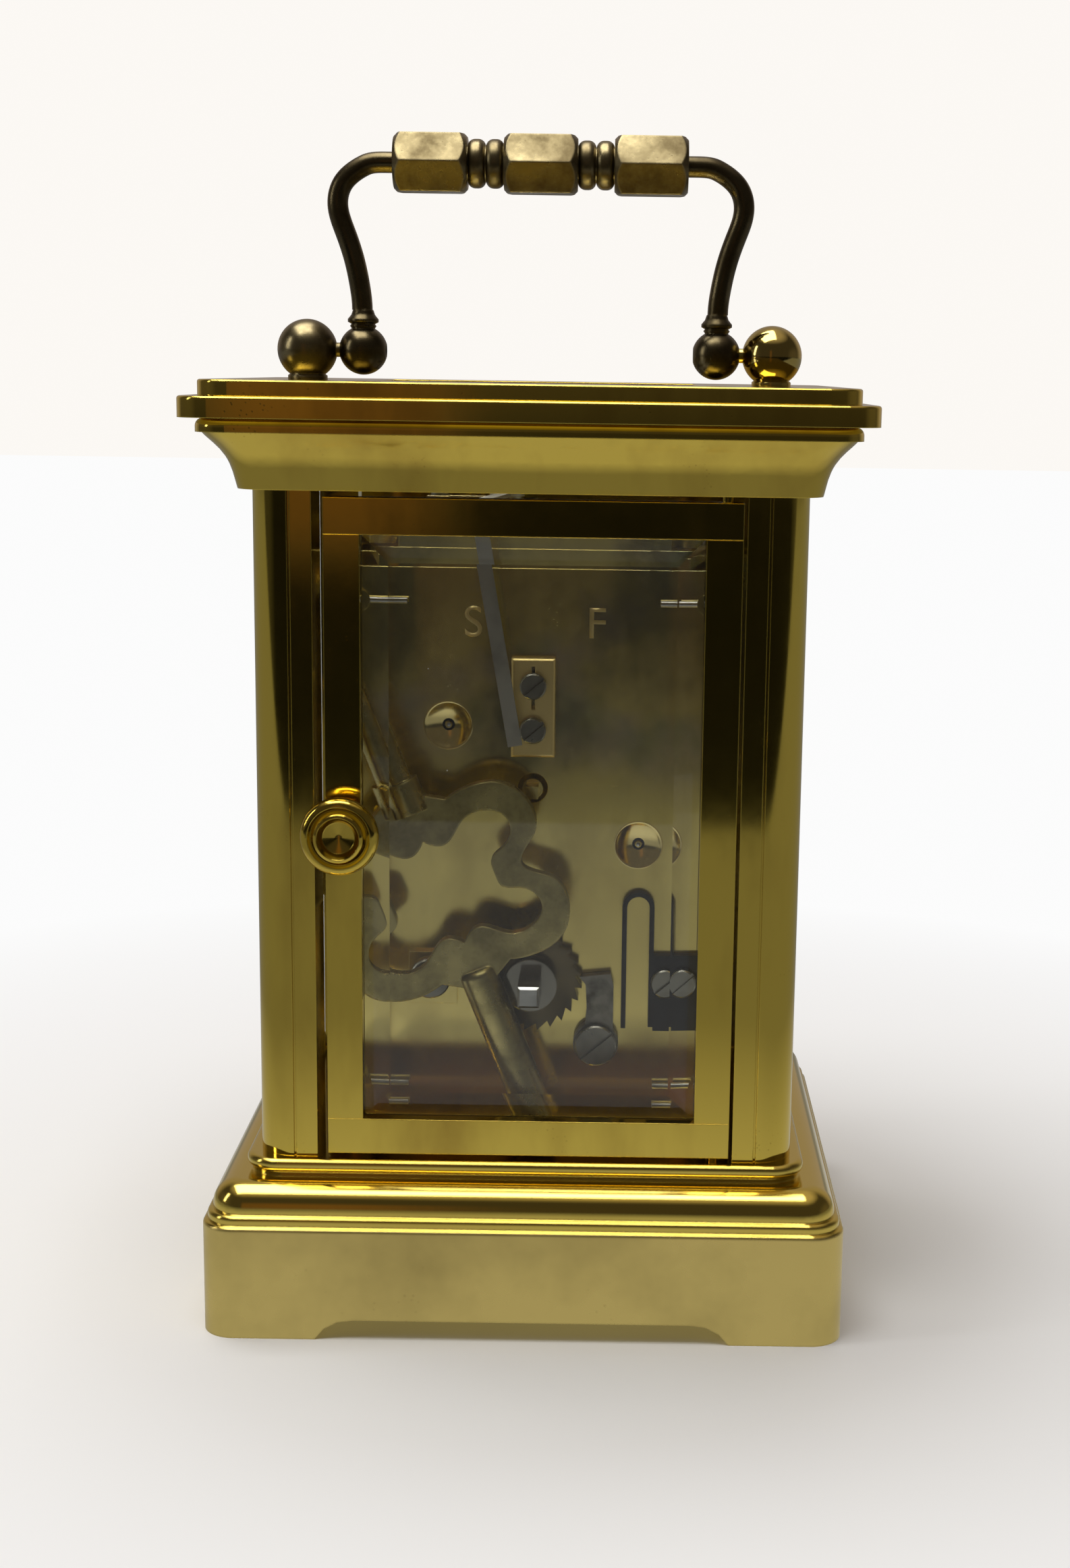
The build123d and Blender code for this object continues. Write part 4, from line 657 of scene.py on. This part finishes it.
def grown(name, tree, values):
    # runs a node tree on an empty mesh and keeps the result as a plain mesh
    host = bpy.data.objects.new(name + "_host", bpy.data.meshes.new(name + "_host"))
    bpy.context.scene.collection.objects.link(host)
    modifier = host.modifiers.new("nodes", "NODES")
    modifier.node_group = tree
    for item in tree.interface.items_tree:
        if item.in_out == "INPUT" and item.name in values:
            modifier[item.identifier] = values[item.name]
    graph = bpy.context.evaluated_depsgraph_get()
    mesh = bpy.data.meshes.new_from_object(host.evaluated_get(graph))
    host.modifiers.remove(modifier)
    bpy.data.objects.remove(host)
    return mesh


def tickTree():
    tree = nodeTree("minute ticks", [("Count", "NodeSocketInt"), ("Radius", "NodeSocketFloat"),
                                     ("Length", "NodeSocketFloat"), ("Width", "NodeSocketFloat"),
                                     ("Lift", "NodeSocketFloat")])
    made, link = tree.nodes.new, tree.links.new
    given = made("NodeGroupInput")
    circle = made("GeometryNodeMeshCircle")
    link(given.outputs["Count"], circle.inputs["Vertices"])
    link(given.outputs["Radius"], circle.inputs["Radius"])
    size = made("ShaderNodeCombineXYZ")
    for plug, label in zip(size.inputs, ("Length", "Width", "Lift")):
        link(given.outputs[label], plug)
    bar = made("GeometryNodeMeshCube")
    link(size.outputs[0], bar.inputs["Size"])
    index = made("GeometryNodeInputIndex")
    step = made("ShaderNodeMath")
    step.operation = "DIVIDE"
    step.inputs[0].default_value = 2 * math.pi
    link(given.outputs["Count"], step.inputs[1])
    angle = made("ShaderNodeMath")
    angle.operation = "MULTIPLY"
    link(index.outputs[0], angle.inputs[0])
    link(step.outputs[0], angle.inputs[1])
    turn = made("ShaderNodeCombineXYZ")
    link(angle.outputs[0], turn.inputs["Z"])
    spread = made("GeometryNodeInstanceOnPoints")
    link(circle.outputs["Mesh"], spread.inputs["Points"])
    link(bar.outputs["Mesh"], spread.inputs["Instance"])
    link(turn.outputs[0], spread.inputs["Rotation"])
    real = made("GeometryNodeRealizeInstances")
    link(spread.outputs[0], real.inputs[0])
    painted = made("GeometryNodeSetMaterial")
    painted.inputs["Material"].default_value = finishes["ink"]
    link(real.outputs[0], painted.inputs["Geometry"])
    result = made("NodeGroupOutput")
    link(painted.outputs[0], result.inputs[0])
    return tree


def makeTrack():
    tree = tickTree()
    inner, outer = dialLook["trackIn"], dialLook["trackOut"]
    rows = {"minute_ticks": (60, dialLook["tick"]), "hour_ticks": (12, dialLook["hourTick"])}
    for name, (count, width) in rows.items():
        mesh = grown(name, tree, {"Count": count, "Radius": (inner + outer) / 2 * mm,
                                  "Length": (outer - inner) * mm, "Width": width * mm,
                                  "Lift": 2 * dialLook["lift"] * mm})
        mesh.transform(readingFrame(-1, dialCentre[0], dialFront, dialCentre[1]))
        piece = bpy.data.objects.new(name, mesh)
        bpy.context.scene.collection.objects.link(piece)
        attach(piece, "root")
    bm = bmesh.new()
    for radius in (inner, outer):
        half = dialLook["line"] / 2
        ring = [(radius + half, 0.0), (radius + half, dialLook["lift"]),
                (radius - half, dialLook["lift"]), (radius - half, 0.0)]
        turned(bm, [(r * mm, h * mm) for r, h in ring], 120)
    bm.transform(readingFrame(-1, dialCentre[0], dialFront, dialCentre[1]))
    addPiece("track_circles", bm, "ink", "root")


makeNumerals()
makeTrack()
print("dial figured")


print("done")
